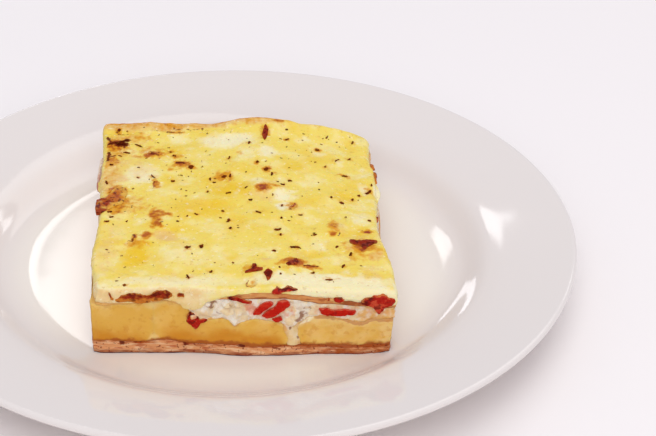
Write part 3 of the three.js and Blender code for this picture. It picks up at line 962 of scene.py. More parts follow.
@dataclass
class Plate:
    """The round glazed plate, turned from one profile."""

    rim_radius: float = 140.0
    rim_thickness: float = 3.0
    floor_thickness: float = 4.0
    foot_inner: float = 83.0
    foot_outer: float = 88.0
    foot_round: float = 1.2
    around: int = 240

    def underside(self, radius: Array) -> Array:
        """The upper side less the wall's thickness, which goes evenly from the floor's to the rim's."""
        thickness = lerp(self.floor_thickness, self.rim_thickness, radius / self.rim_radius)
        return PLATE_TOP.height(radius) - thickness

    def profile(self) -> tuple[Array, Array]:
        """The half section from the underside's middle, over the foot ring and the rim, to the floor's own.

        Returns:
            The radii and the heights. The foot ring is a rounded bar, and the rim a half circle.
        """
        half = self.rim_thickness / 2
        edge = self.rim_radius - half
        foot_start = self.foot_inner - 1.6
        inner = np.linspace(2.0, foot_start, 12)
        turn = np.linspace(0.0, 1.0, 6)
        down = foot_start + self.foot_round * turn + 0.4 * turn * turn
        down_z = lerp(float(self.underside(np.array(self.foot_inner))), 0.0, eased(turn))
        flat = np.linspace(self.foot_inner + 0.3, self.foot_outer - 0.3, 5)
        up = self.foot_outer + self.foot_round * turn
        up_z = lerp(0.0, float(self.underside(np.array(self.foot_outer + self.foot_round))), eased(turn))
        outer = np.linspace(self.foot_outer + 2.0, edge - 0.5, 26)
        angle = np.linspace(-math.pi / 2, math.pi / 2, 9)
        top = np.linspace(edge - 0.5, 2.0, 74)
        radii = np.concatenate([inner, down, flat, up, outer, edge + half * np.cos(angle), top])
        heights = np.concatenate([
            self.underside(inner), down_z, np.zeros(5), up_z, self.underside(outer),
            PLATE_TOP.height(np.array(edge)) - half + half * np.sin(angle), PLATE_TOP.height(top),
        ])
        return radii, heights

    def build(self) -> Piece:
        """Carries the profile once round the upright axis and dresses it, with painted light whitening the
        floor's glaze.
        """
        radii, heights = self.profile()
        turn = np.linspace(0.0, 2 * math.pi, self.around, endpoint=False)
        rings = np.stack([
            radii[:, None] * np.cos(turn), radii[:, None] * np.sin(turn),
            np.broadcast_to(heights[:, None], (len(radii), self.around)),
        ], axis=-1)
        bare = np.broadcast_to((heights < 0.15)[:, None] * 1.0, rings.shape[:2])
        # Painted light: the glaze is whitened on the floor and the lower wall
        inside = eased((PLATE_TOP.flange_start - radii) / 20.0)
        well_painted_light = np.broadcast_to(inside[:, None], rings.shape[:2])
        plate = lofted(rings, {"bare": bare, "well_painted_light": well_painted_light}).to_object("plate_glazed")
        return dressed(plate, GLAZE, "plate_glaze", "plate")


def dressed(piece: Piece, finish: Finish, slot: str, *nodes: str) -> Piece:
    """Gives a piece its material and body, and hides the solids it stands for.

    Args:
        piece: the new object.
        finish: its look.
        slot: the record's material slot; not used.
        nodes: the solids that it replaces.

    Returns:
        The piece.
    """
    made = bpy.data.materials.get(finish.name) or finish.build()
    piece.data.materials.append(made)
    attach(piece, "root")
    if nodes:
        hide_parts(*nodes)
    LOG.info("%s: %d points", piece.name, len(piece.data.vertices))
    return piece


# The slab's layers


@dataclass
class CrustLayer(Layer):
    """The flaky underlayer of baked prosciutto."""

    flake: float = 1.1
    drawn_out: float = 7.0
    top_edge: float = 0.5
    foot_edge: float = 0.4

    def outset(self, x: Array, y: Array, z: Array, share: Array) -> Array:
        """Flakes: variation drawn out along the cut and thin in height, with both edges rounded off."""
        flakes = cloudy_at(x / self.drawn_out, y / self.drawn_out, z, self.flake, 3, 31)
        broad = flat_cloudy(x, y, 9.0, 2, 33)
        below_top, above_foot = self.high(x, y) - z, z - self.low(x, y)
        flare = (y < NEAR_FRONT) * eased((x + 8.0) / 14.0) * eased((60.0 - x) / 12.0) * eased((9.5 - z) / 3.5)
        soft = 0.5 * edge_drop(below_top, self.top_edge) + edge_drop(above_foot, self.foot_edge)
        return 0.1 + 0.45 * flakes + 0.3 * broad + 1.0 * flare + 0.4 * (x > 55) - soft

    def masks(self, x: Array, y: Array, z: Array, share: Array) -> dict[str, Array]:
        """Lean meat near the top and to the right, dark knots, painted shade low down, a painted shadow line
        at the foot.
        """
        knots = eased(2.2 * flat_cloudy(x, y, 4.0, 3, 35) - 0.1)
        near_top = eased((share - 0.6) / 0.4)
        return {
            "lean": np.clip(near_top * 0.75 + 0.6 * eased((x - 8) / 34.0), 0, 1),
            "dark": knots * eased((share - 0.55) / 0.3),
            # Painted shade on the lower half, and a painted shadow line at the foot
            "under": eased((0.5 - share) / 0.3) * (0.8 + 0.4 * flat_cloudy(x, y, 6.0, 2, 38)),
            "foot": eased((0.2 - share) / 0.14) * (0.75 + 0.4 * flat_cloudy(x, y, 6.0, 2, 39)),
        }


@dataclass
class GnocchiLayer(Layer):
    """One of the three slabs of dough. A side against another slab is a seam, the outer sides are cuts."""

    front: tuple[float, float] = (0.0, 1.0)
    back: tuple[float, float] = (0.0, 1.0)
    seam_left: float = 0.0
    seam_right: float = 0.0
    open_seam: float = 2.0

    def __post_init__(self) -> None:
        """Puts the dough's own top, with its shoulders, in place of the plain one."""
        self.high = self.upper

    def place(self, s: Array, t: Array, outset: Array | float) -> tuple[Array, Array]:
        """The slab's plan between the piece's two seams, with the outset along each side's own direction."""
        left = lerp(self.front[0], self.back[0], t)
        right = lerp(self.front[1], self.back[1], t)
        x, y = PLAN.at(lerp(left, right, s), t, 0.0)
        return x + (2 * s - 1) * outset, y + (2 * t - 1) * outset

    def seams(self) -> list[tuple[int, float]]:
        """The sides that are seams, 0 for the left and 1 for the right, each with its shoulder's radius."""
        return [(side, radius) for side, radius in enumerate((self.seam_left, self.seam_right)) if radius > 0]

    def to_seam(self, x: Array, y: Array, side: int) -> Array:
        """The distance to the seam on the left (0) or the right (1)."""
        t = (y - PLAN.front_left[1]) / (PLAN.back_left[1] - PLAN.front_left[1])
        return np.abs(x - PLAN.at(lerp(self.front[side], self.back[side], t), t, 0.0)[0])

    def upper(self, x: Array, y: Array) -> Array:
        """The dough's top, with a quarter-round shoulder of each seam's own radius."""
        z = DOUGH_TOP.height(x, y)
        for side, radius in self.seams():
            z = z - edge_drop(self.to_seam(x, y, side), radius) * 0.85
        return z

    def outset(self, x: Array, y: Array, z: Array, share: Array) -> Array:
        """A knife's smooth cut: broad shallow swells, faint drag marks, and soft upper and lower edges.

        The front left corner bulges near its top, behind it that side has drawn in, the right side leans out,
        and an open seam leans inwards.
        """
        swell = cloudy_at(x, y, z, 11.0, 2, 41)
        marks = cloudy_at(0.35 * x, 0.35 * y, 1.6 * z, 2.6, 2, 43)
        over = self.high(x, y) - z
        under = z - self.low(x, y)
        near_left = bell((x + 55.0) / 3.0)
        near_right = bell((x - 61.0) / 3.0)
        lean = 0.9 * near_left * bell((z - 28.0) / 2.6, (y + 66.0) / 5.0)
        lean = lean + near_right * (0.5 + 0.7 * eased((z - 12.0) / 9.0))
        lean = lean - 0.9 * near_left * eased((y + 63.0) / 5.0) * eased((z - 22.0) / 5.0)
        corner = np.zeros_like(x)
        for side, radius in self.seams():
            if radius < self.open_seam:
                corner = corner + 0.14 * bell(self.to_seam(x, y, side) / 0.6)
            elif side == 0:
                corner = corner + 1.0 * bell(self.to_seam(x, y, side) / 1.5) * eased((16.0 - z) / 6.0)
            else:
                corner = corner + 2.0 * bell(self.to_seam(x, y, side) / 1.5) * eased((z - 13.0) / 8.0)
        smooth = 0.05 + 0.28 * swell + 0.1 * marks + lean
        return smooth - edge_drop(over, 0.5) * 0.6 - edge_drop(under, 0.3) * 0.3 - corner

    def masks(self, x: Array, y: Array, z: Array, share: Array) -> dict[str, Array]:
        """Where the dough is darker or paler.

        Deep colour lies low down, a pale band at each seam with a pale nick at the left one's foot, a pale
        nose on the right slab with a near-white flap on it that is partly a painted highlight, stripes at its
        right end, tan skin along its top, and a brown stain above the base.
        """
        seam = np.max([bell(self.to_seam(x, y, side) / 3.0) for side, _ in self.seams()], axis=0)
        warp = cloudy_at(x, y, z, 3.0, 3, 45)
        wide = cloudy_at(x, y, z, 8.0, 2, 47)
        nick_width = 2.6 - 0.4 * (z - 13.0)
        nick = (y < NEAR_FRONT) * bell((x + 28.2 + warp) / nick_width, (z - 12.6 + 0.8 * warp) / 2.6)
        nose = bell((x - 29.0 + 1.5 * warp) / 5.5, (z - 22.4 + warp) / 2.0)
        stripes = bell((x - 60.5) / 2.4) * (0.5 + 0.4 * np.sin(2.3 * z + 2.5 * warp + 0.8 * np.sin(0.9 * x)))
        skin = eased((x - 31.0 + 3 * warp) / 5.0) * eased((z - self.high(x, y) + 2.2 + 1.6 * warp) / 1.6)
        top = eased((share - 0.74 + 0.12 * warp) / 0.26)
        right = 0.62 * eased((x - 26.0) / 6.0) * (share > 0)
        middle = 0.45 * bell((x - 4.0) / 22.0)
        deep = np.clip(1.0 - 1.35 * share + 0.3 * wide + middle, 0, 1)
        above_nose = z - 20.9 - 0.4 * (x - 27.0)
        return {
            "low": deep * (1 - 0.7 * seam) * (1 - 1.1 * right),
            "pale": np.clip(0.5 * seam + nose + stripes + 0.55 * top + nick + right + 0.3 * wide, 0, 1.1),
            # A near-white flap on the right slab's nose, partly a painted highlight
            "nose": (y < -58) * bell((x - 29.4 + warp) / 3.6, (above_nose + 0.6 * warp) / 1.4),
            "skin": np.clip(skin, 0, 1),
            "stain": eased((self.low(x, y) + 2.4 + 0.9 * bell((x - 2.0) / 18.0) + 1.1 * warp - z) / 2.6),
        }


# Places on the cream's front: a drip, curds, smooth cream round the strips, a blob, and the gap's middle
DRIP = Spot(2.8, 21.6, 1.9, 2.8)
CURDS = Spot(-2.0, 27.0, 8.0, 6.0)
HELD_FLAT = (Spot(16.0, 27.0, 6.5, 5.0), Spot(41.0, 26.0, 8.0, 2.5))
CREAM_BLOB = Spot(-12.5, 23.7, 1.4, 1.2)
GAP_AT = 24.6
# The cream's hollows, darkened with brown bits and painted shade, and its pink stains
HOLLOW_SHADES_AND_BROWN_BITS = (
    Spot(-6.1, 28.4, 1.2, 2.1, 1.1), Spot(1.4, 29.7, 1.1, 1.6, 0.8), Spot(-4.8, 30.8, 1.5, 0.8, 0.9),
    Spot(23.8, 18.6, 0.6, 0.6, 1.2), Spot(26.2, 14.6, 0.6, 0.8, 1.1), Spot(28.2, 27.6, 0.8, 0.4, 0.9),
    Spot(31.2, 27.8, 0.8, 0.4, 0.9), Spot(-3.0, 25.4, 0.9, 1.4, 0.7),
)
ROSY_SPOTS = (
    Spot(14.5, 26.2, 5.0, 4.2), Spot(23.5, 25.5, 3.2, 3.2, 0.55), Spot(8.4, 28.0, 1.7, 2.4),
    Spot(40.0, 26.0, 7.5, 2.4), Spot(57.0, 27.0, 6.0, 3.0, 0.45), Spot(-12.6, 23.7, 2.2, 1.9, 0.8),
)


@dataclass
class CreamLayer(Layer):
    """The white, lumpy cream above the dough, which fills the gap between two of the gnocchi."""

    lump: float = 3.6
    crumb: float = 1.5
    stain: float = 2.2
    follow_left: float = 0.95
    follow_right: float = 0.5

    def place(self, s: Array, t: Array, outset: Array | float) -> tuple[Array, Array]:
        """The slab's plan, following a part of the melted top's shift at the sides."""
        x, y = PLAN.at(s, t, outset)
        return x + np.where(x < 0, self.follow_left, self.follow_right) * side_shift(x, y), y

    def outset(self, x: Array, y: Array, z: Array, share: Array) -> Array:
        """Set back behind the dough, with lumps above it. In front a drip runs down and a blob hangs out."""
        lumps = np.abs(cloudy_at(x, y, z, self.lump, 2, 51))
        fine = cloudy_at(x, y, z, self.crumb, 2, 53)
        above = eased((z - DOUGH_TOP.height(x, y) + 1.0) / 1.6)
        front = y < NEAR_FRONT
        drip = front * DRIP.mask(x, z)
        curds = front * CURDS.mask(x, z)
        strips = front * sum(spot.mask(x, z) for spot in HELD_FLAT)
        gap = front * bell((x - GAP_AT) / 2.8) * eased((24.0 - z) / 2.0)
        blob = front * CREAM_BLOB.mask(x, z)
        rough = (1.0 - 0.75 * np.minimum(strips, 1.0)) * (0.15 + (1.3 + 1.5 * curds) * (lumps - 0.2))
        body = above * rough + (0.2 + 0.16 * curds) * fine
        ends = 0.3 * front * (x < -16) + 0.6 * (x > 55)
        return 0.75 * (above - 1.0) + body + 1.5 * np.minimum(drip, 1.0) + 2.6 * blob + 0.95 * gap + ends

    def masks(self, x: Array, y: Array, z: Array, share: Array) -> dict[str, Array]:
        """Where the cream is stained, and where shade is painted on it.

        In front it is tan between the left slab and the crust, pink round the strips of prosciutto, and
        yellow low in the gap; brown bits and painted shade darken the hollows between the curds and a patch
        over the gap, and painted shade darkens the pits between the lumps all over. Elsewhere chance says
        where it is tan or pink.
        """
        front = (y < -58.0) * 1.0
        # Painted shade: the pits between the lumps are darkened
        pit_shade = eased(1.0 - 7.0 * np.abs(cloudy_at(x, y, z, self.lump, 2, 51)))
        hidden = 0.62 + 0.7 * cloudy_at(x, y, z, 9.0, 3, 58)
        blush = 0.7 * eased(2.0 * cloudy_at(x, y, z, 7.0, 2, 59) - 0.2)
        shift_x = 1.7 * cloudy_at(x, y, z, self.stain, 3, 55)
        shift_z = 1.5 * cloudy_at(x, y, z, self.stain, 3, 57)
        x, z = x + shift_x, z + shift_z
        low = eased((DOUGH_TOP.height(x, y) + 0.9 - z) / 1.3)
        patch_x, patch_z = x - 27.5, z - 23.8
        patch = bell((0.8 * patch_x - 0.6 * patch_z) / 1.5, (0.6 * patch_x + 0.8 * patch_z) / 3.0)
        spots = sum(spot.mask(x, z) for spot in HOLLOW_SHADES_AND_BROWN_BITS)
        rosy = sum(spot.mask(x, z) for spot in ROSY_SPOTS)
        seen = eased((-15.5 - x) / 2.0) + 0.35 * eased((x - 31.0) / 5.0) + 0.35 * eased((x - 46.0) / 6.0)
        in_gap = bell((x - GAP_AT) / 2.4)
        tan = lerp(hidden, seen, front) + 0.9 * low * (1 - 0.6 * in_gap)
        return {
            "tan": np.clip(tan, 0, 1),
            "rosy": np.clip(lerp(blush, rosy, front), 0, 1),
            # Brown bits and painted shade in the hollows and the gap's patch, and painted shade in the pits
            "hollow": np.clip(front * (patch + spots) + pit_shade * (0.12 + 0.26 * bell((x + 3.0) / 6.0)), 0, 1),
            "gap": np.clip(front * in_gap * eased((21.5 - z) / 4.0), 0, 1),
        }


@dataclass
class SheetLayer(Layer):
    """The slice of prosciutto between the cream and the melted top."""

    tear: float = 1.2
    drawn_out: float = 5.0
    top_edge: float = 0.6
    foot_edge: float = 0.5
    follow_left: float = 1.05
    follow_right: float = 0.85

    def place(self, s: Array, t: Array, outset: Array | float) -> tuple[Array, Array]:
        """The slab's plan, following most of the melted top's shift at the sides."""
        x, y = PLAN.at(s, t, outset)
        return x + np.where(x < 0, self.follow_left, self.follow_right) * side_shift(x, y), y

    def outset(self, x: Array, y: Array, z: Array, share: Array) -> Array:
        """A slice's torn edge: variation drawn out along the cut, and rounded edges."""
        torn = cloudy_at(x / self.drawn_out, y / self.drawn_out, z, self.tear, 3, 61)
        top_round = edge_drop(self.high(x, y) - z, self.top_edge)
        foot_round = edge_drop(z - self.low(x, y), self.foot_edge)
        return 0.45 + 0.45 * torn - 0.7 * top_round - 0.7 * foot_round

    def masks(self, x: Array, y: Array, z: Array, share: Array) -> dict[str, Array]:
        """Darker along its foot and to the right, and glazed with cheese here and there near its top."""
        runs = cloudy_at(x, y, z, 5.0, 3, 63)
        brown = 0.8 * (y < NEAR_FRONT) * bell((x - 46.0) / 6.5)
        return {
            "foot": np.maximum(eased((0.35 - share) / 0.3), brown),
            "melt": np.clip(0.6 * share + 1.1 * runs + 0.1 - brown, 0, 1),
        }


# Where the melted top swells up or sinks in
SWELLINGS = blobs(
    (-47, 0, 8, 9, 1.1), (-28, -16, 6, 8, 0.8), (-32, -28, 4, 4, 0.5), (13, 5, 7, 5, 0.9),
    (20, -3, 5, 6, -1.0), (52, -34, 7, 6, 0.9), (41, -25, 4, 5, 0.8), (26, -49, 6, 5, 1.0),
    (-48, 44, 6, 5, 0.7), (-34, 35, 4, 3, 0.6), (-20, 26, 5, 4, 0.6), (-36, -44, 12, 10, -0.8),
    (11, -54, 6, 5, 0.8), (-12, 12, 12, 8, -0.5), (28, 38, 10, 8, -0.5), (-15, -40, 14, 9, 0.4),
    (6, 47, 9, 5, -0.5), (-25, -28, 6, 4, -0.4), (40, -58, 14, 5, 0.4),
)
# Its colours: butter yellow, milky white, beige, toasted brown, lean red-brown and charred
BUTTER = blobs(
    (-36, -42, 6, 10, 1.0), (-12, -8, 17, 9, 0.85), (0, 5, 11, 8, 0.9), (-6, 13, 8, 8, 0.8),
    (3, -20, 7, 9, 0.75), (46, 3, 8, 6, 0.8), (51, 15, 6, 9, 0.65), (34, 33, 11, 13, 0.6),
    (-37, -8, 6, 8, 0.6), (-23, 12, 8, 9, 0.6), (33, -42, 7, 5, 0.7), (30, -20, 10, 6, 0.45),
    (12, -12, 9, 5, 0.6), (-34, -33, 5, 4, 0.8), (6, 20, 7, 8, 0.6), (48, 47, 7, 7, 0.55),
    (-22, 40, 8, 5, 0.5), (-8, -30, 10, 6, 0.4), (10, -42, 6, 6, 0.4), (32, -4, 9, 6, 0.6),
)
CURD = blobs(
    (-2, 44, 13, 6, 0.9), (6, 34, 7, 6, 0.55), (14, 34, 4, 7, 0.75), (20, 1, 3.6, 4, 1.0),
    (21, -6, 3.4, 4, 1.0), (24.5, 3, 3, 2.4, 0.7), (-37, 19, 8, 7.5, 0.85), (36, -60, 30, 5.5, 1.0),
    (-18, -61, 30, 5.5, 0.7), (-50, -56, 6, 10, 0.5), (52, -13, 8, 6, 0.6), (45, 31, 2.5, 4, 0.6),
    (29, 47, 5, 4, 0.6), (-24, 47, 9, 4, 0.5), (-6, -48, 9, 6, 0.4), (-33, -58, 10, 5, 0.4),
    (-46, 50, 6, 2, 0.5), (-44, 38, 5, 2, 0.5), (20, 12, 4, 3, 0.4), (-18, -42, 13, 12, 0.5),
    (-48, -46, 7, 13, 0.5), (-45, -24, 8, 9, 0.45), (2, -36, 9, 8, 0.35), (-30, 0, 9, 6, 0.35),
    (30, 12, 9, 7, 0.35), (38, -10, 9, 7, 0.35), (40, -46, 10, 5, 0.4), (-14, 32, 8, 6, 0.4),
    (-10, -44, 14, 7, 0.5), (53, -64, 9, 4, 1.0), (-46, -64, 6, 3.5, 0.7),
)
BEIGE = blobs(
    (-49, 14, 7, 17, 0.85), (-37, 22, 6, 9, 0.6), (-47, -38, 5, 22, 0.55), (-25, -28.5, 5, 4.5, 1.0),
    (57, -42, 3, 4.5, 0.8), (55, -54, 5, 7, 0.6), (27, -41.5, 4, 4, 0.55), (38, -33.5, 3, 3, 0.55),
    (15, -47.5, 3, 2.6, 0.7), (13, -1, 7, 4.5, 0.7), (25, -8, 5, 4, 0.75), (47, -36, 3, 4, 0.8),
    (42, -22, 4, 6, 0.6), (8, 8, 4, 4, 0.5), (-22, -57, 8, 6, 0.45), (-43, 28, 12, 10, 0.55),
    (-42, 47, 10, 4, 0.55), (54, -30, 5, 9, 0.5), (17, 7, 7, 4, 0.6),
)
TOAST = blobs(
    (-30, -14, 2.6, 5, 0.85), (-25.5, -13, 3.4, 2, 0.8), (-28.5, -19.5, 2.4, 4, 0.95),
    (-32.5, -28, 2.6, 2.6, 0.95), (-37.5, -29, 1.6, 3.4, 0.8), (-36, -33, 5, 3, 0.45), (-46, 5, 4.6, 5, 0.95),
    (-46, -5, 6, 7, 0.75), (-38, -5, 6, 8, 0.35), (-31.3, 11, 1.6, 4, 0.75), (-34, 35.5, 4.5, 3.2, 0.95),
    (-39, 34, 4, 1.2, 0.5), (-24, 33, 3, 2.4, 0.6), (-21, 27, 4.2, 2.6, 0.9), (-17, 24, 2.2, 2.4, 0.7),
    (-26, 23, 2, 1.6, 0.6), (-27, 37, 1.6, 1.6, 0.5), (-3.5, 15.5, 4, 3.4, 0.7), (13.9, 19.5, 2, 3, 0.8),
    (16.5, 16, 1.4, 2.4, 0.5), (12.8, 5, 3.6, 3.4, 0.8), (17, 6.4, 5, 1.4, 0.6), (25, -7, 2.4, 3, 0.6),
    (41, -22, 2.2, 4, 0.7), (39.8, -27, 1.6, 2.2, 0.85), (54, -23.6, 2.4, 1.6, 0.8), (52.5, -36, 5, 4.4, 0.8),
    (25, -49, 5, 3.4, 0.9), (31, -51, 3.5, 1.6, 0.85), (9.6, -53, 3.6, 3, 0.7), (15.6, -57, 2.2, 3.4, 0.5),
    (9.4, -63, 2.2, 2.6, 0.6), (38.6, -59, 2.4, 1.2, 0.5), (-50, 30, 4, 5, 0.65), (-50, 43, 5, 5, 0.8),
    (-49, 54, 2.5, 2, 0.6), (-25, 52.6, 4, 1.2, 0.7), (19.5, 57.5, 4, 1.6, 0.8), (13.6, 49, 2.2, 5.5, 0.5),
    (46, 21.6, 2.6, 1.6, 0.5), (56, 11, 2, 3, 0.5), (35.3, 39.8, 1.8, 1.6, 0.6), (22.4, 45.8, 2, 1.6, 0.5),
    (10.5, 25, 1.4, 2.6, 0.6), (2, 33, 1.6, 1.4, 0.5), (58, -38, 2, 4, 0.4), (-50, 38, 7, 6, 0.45),
    (-43, 49, 9, 4, 0.42), (-35, 38, 8, 4, 0.4), (50, -38, 10, 9, 0.34), (-50, 19, 5, 9, 0.3),
)
LEAN = (
    *blobs(
        (-50.8, -5.5, 2.8, 6, 1.0), (-45, 7, 2.6, 2.6, 0.9), (-43.6, -4.5, 1.4, 2.6, 0.6),
        (-31.2, 10, 0.9, 2.8, 0.7), (12.8, 4.6, 2.6, 2.4, 0.85), (24.8, -7.6, 1.6, 2, 0.7),
        (53.8, -23.4, 1.6, 1.3, 1.0), (51.5, -37.5, 3.2, 2.6, 0.7), (25, -48.6, 2.2, 2, 0.8),
        (-33.6, 35.2, 2, 1.8, 0.6), (-54.6, 18, 1, 9, 0.7), (9.8, -52, 2.0, 2.2, 0.5),
    ),
    Stroke(((8.2, -60.4), (7.6, -63.6), (9.4, -65.2)), 0.6, 0.8),
    Stroke(((10.9, -61.8), (10.3, -60)), 0.5, 0.6),
)
CHAR = (
    *blobs(
        (-47.4, 43.2, 3.0, 2.4, 1.15), (-27, 52.5, 1.3, 0.8, 0.7), (-23.6, 52.2, 1.4, 0.8, 0.7),
        (-54.6, 42.3, 1.1, 1.1, 0.9), (-33.6, 35.8, 1.6, 1.7, 0.75), (-17.2, 24, 1.1, 1.7, 1.05),
        (26.2, -46.8, 0.7, 1.4, 0.7), (-53.4, -8, 0.8, 4, 0.6),
    ),
    Stroke(((-52.6, 43.6), (-48.6, 43.8), (-45.4, 47.2)), 1.3, 1.1),
    Stroke(((-54, 48.5), (-52, 45)), 0.7, 0.95), Stroke(((-52.3, 37.5), (-51.9, 31)), 0.9, 1.0),
    Stroke(((-52, 33), (-49.5, 35)), 0.7, 0.9), Stroke(((-50, 52.3), (-45, 52.2)), 0.5, 0.8),
    Stroke(((-42, 52.6), (-35, 53.6), (-30, 53.2)), 0.4, 0.5),
    Stroke(((-29, 57.5), (-25, 55), (-20, 54), (-12, 53.4)), 0.4, 0.55),
    Stroke(((-34.6, 38.4), (-31.2, 34.2)), 0.5, 0.9), Stroke(((-23.6, 27.7), (-20, 26.8)), 0.9, 0.9),
    Stroke(((-39.5, -31.8), (-38, -31.8), (-37.2, -29), (-37.4, -26.5)), 0.45, 0.9),
    Stroke(((-49.4, 3), (-45.4, 8.8), (-44.4, 5.6)), 0.4, 0.45),
    Stroke(((28.5, -51.6), (31, -50.6), (33.4, -49.8)), 0.6, 0.85),
    Stroke(((41.9, -28.9), (43.4, -26)), 0.4, 0.5), Stroke(((56.8, 12.6), (54.9, 9)), 0.6, 0.85),
)
# How the melted top's back edge rises and falls along x
BACK_EDGE = (
    (-56, -0.2), (-45, 0.2), (-36, 1.3), (-29, 0.2), (-24, 0.0), (-18, 0.3), (-10, -0.7), (-4, -0.6),
    (4, 0.3), (12, 0.8), (22, 1.7), (31, 1.0), (41, 0.6), (49, 0.9), (58, -1.8),
)

# The herb flecks that stand out: the x and y of each one's middle, its run along x and y, and its width
FLECKS = (
    (-49.0, 54.2, 0.6, 1.6, 1.2), (-39.8, 43.0, 3.4, -2.1, 0.8), (-44.5, 36.8, 3.0, -0.9, 0.9),
    (-47.2, 34.7, 1.7, -1.0, 0.8), (-50.2, 27.0, 1.6, 0.0, 1.4), (-51.0, 12.3, 0.8, -3.5, 1.0),
    (-38.5, 16.0, 1.0, -1.0, 1.0), (-32.5, 16.7, 1.8, -2.6, 0.8), (-26.2, 36.8, 1.1, 0.0, 1.0),
    (-24.5, 33.4, 1.6, -0.3, 1.2), (-17.2, 24.0, 0.4, 2.6, 1.8), (-24.1, 13.0, 1.7, 0.0, 1.5),
    (-1.5, 29.6, -0.6, -2.6, 0.8), (-9.0, 14.3, 0.2, -2.2, 0.8), (-7.1, 11.7, 1.5, 0.2, 1.2),
    (-3.2, 15.3, 2.2, 0.2, 1.6), (-0.8, 15.6, 0.1, 2.2, 0.9), (-9.6, 4.4, 0.2, 1.6, 0.9),
    (-1.2, 2.2, 2.2, 0.5, 1.1), (6.7, 40.3, 0.4, 2.8, 1.1), (22.6, 45.9, 1.8, 1.6, 0.8),
    (35.4, 39.6, 1.7, 0.2, 1.5), (50.6, 50.2, 0.8, 2.5, 0.7), (48.8, 36.2, 1.3, 2.4, 0.7),
    (43.3, 32.7, -1.8, -2.6, 0.8), (38.5, 26.2, 0.6, 1.5, 0.9), (10.4, 24.8, 0.3, 2.0, 1.1),
    (13.9, 19.1, 0.5, 2.8, 1.8), (16.4, 15.5, 0.3, 2.8, 0.9), (23.7, 11.8, 1.7, 0.6, 1.4),
    (20.8, 7.8, 1.9, 0.3, 1.2), (18.8, 9.4, 1.0, 0.2, 0.8), (5.9, 5.5, 1.0, 1.6, 0.9),
    (46.3, 21.4, 2.4, 0.8, 1.2), (57.4, 15.8, 0.2, 2.0, 0.9), (56.0, 10.4, 2.4, 2.6, 1.1),
    (51.8, 6.5, 0.6, 1.6, 1.0), (49.0, 2.5, 0.3, 1.9, 0.9), (40.5, 0.8, 0.2, 1.5, 1.0),
    (44.6, -2.0, 1.9, 0.3, 1.7), (-20.6, -18.5, 1.0, -0.8, 0.9), (-13.6, -13.7, 1.4, -1.2, 0.9),
    (-3.0, -11.3, 1.2, -0.8, 0.9), (-0.5, -18.0, 0.6, 2.4, 1.4), (0.3, -23.7, 0.2, 1.8, 1.0),
    (-15.8, -38.0, 2.4, 0.2, 1.9), (-10.6, -37.0, 0.6, 3.0, 1.5), (-14.8, -57.2, 1.0, -3.4, 0.9),
    (-6.3, -53.8, 0.9, 1.4, 0.9), (-38.3, -63.0, 1.3, 0.0, 1.2), (-50.3, -1.6, 2.4, -0.4, 1.4),
    (-48.0, -10.2, 1.9, 0.6, 1.2), (-47.0, -13.9, 1.6, 1.0, 1.0), (-48.6, -17.4, 2.0, 0.2, 1.3),
    (7.8, -3.3, 1.7, -0.2, 1.2), (11.2, -12.6, 2.3, -2.2, 0.9), (20.5, -6.4, 0.3, 1.8, 0.8),
    (27.9, -14.0, 1.8, 0.2, 1.0), (20.3, -17.0, 0.2, 1.3, 0.9), (18.9, -24.9, 2.9, 0.5, 1.2),
    (20.0, -28.8, 0.2, 1.6, 0.9), (33.4, -28.0, 1.5, 0.2, 1.3), (25.6, -37.2, 4.0, 0.6, 1.5),
    (17.4, -40.8, 1.6, 0.3, 1.2), (55.2, -14.6, 1.4, 0.2, 1.2), (46.9, -40.8, 0.8, 2.2, 1.3),
    (43.8, -49.0, 0.9, 2.4, 0.8), (41.7, -35.8, 0.8, 1.5, 1.0), (38.2, -59.2, 2.8, 0.4, 1.2),
    (32.3, -54.6, 1.2, 1.4, 0.9),
)


# The slab's rounded width and depth, and where along y the cheese bulges out at the right and the left
SLAB_WIDTH, SLAB_DEPTH = 114.0, 126.0
BULGE_RIGHT, BULGE_LEFT = 13.5, 22.0


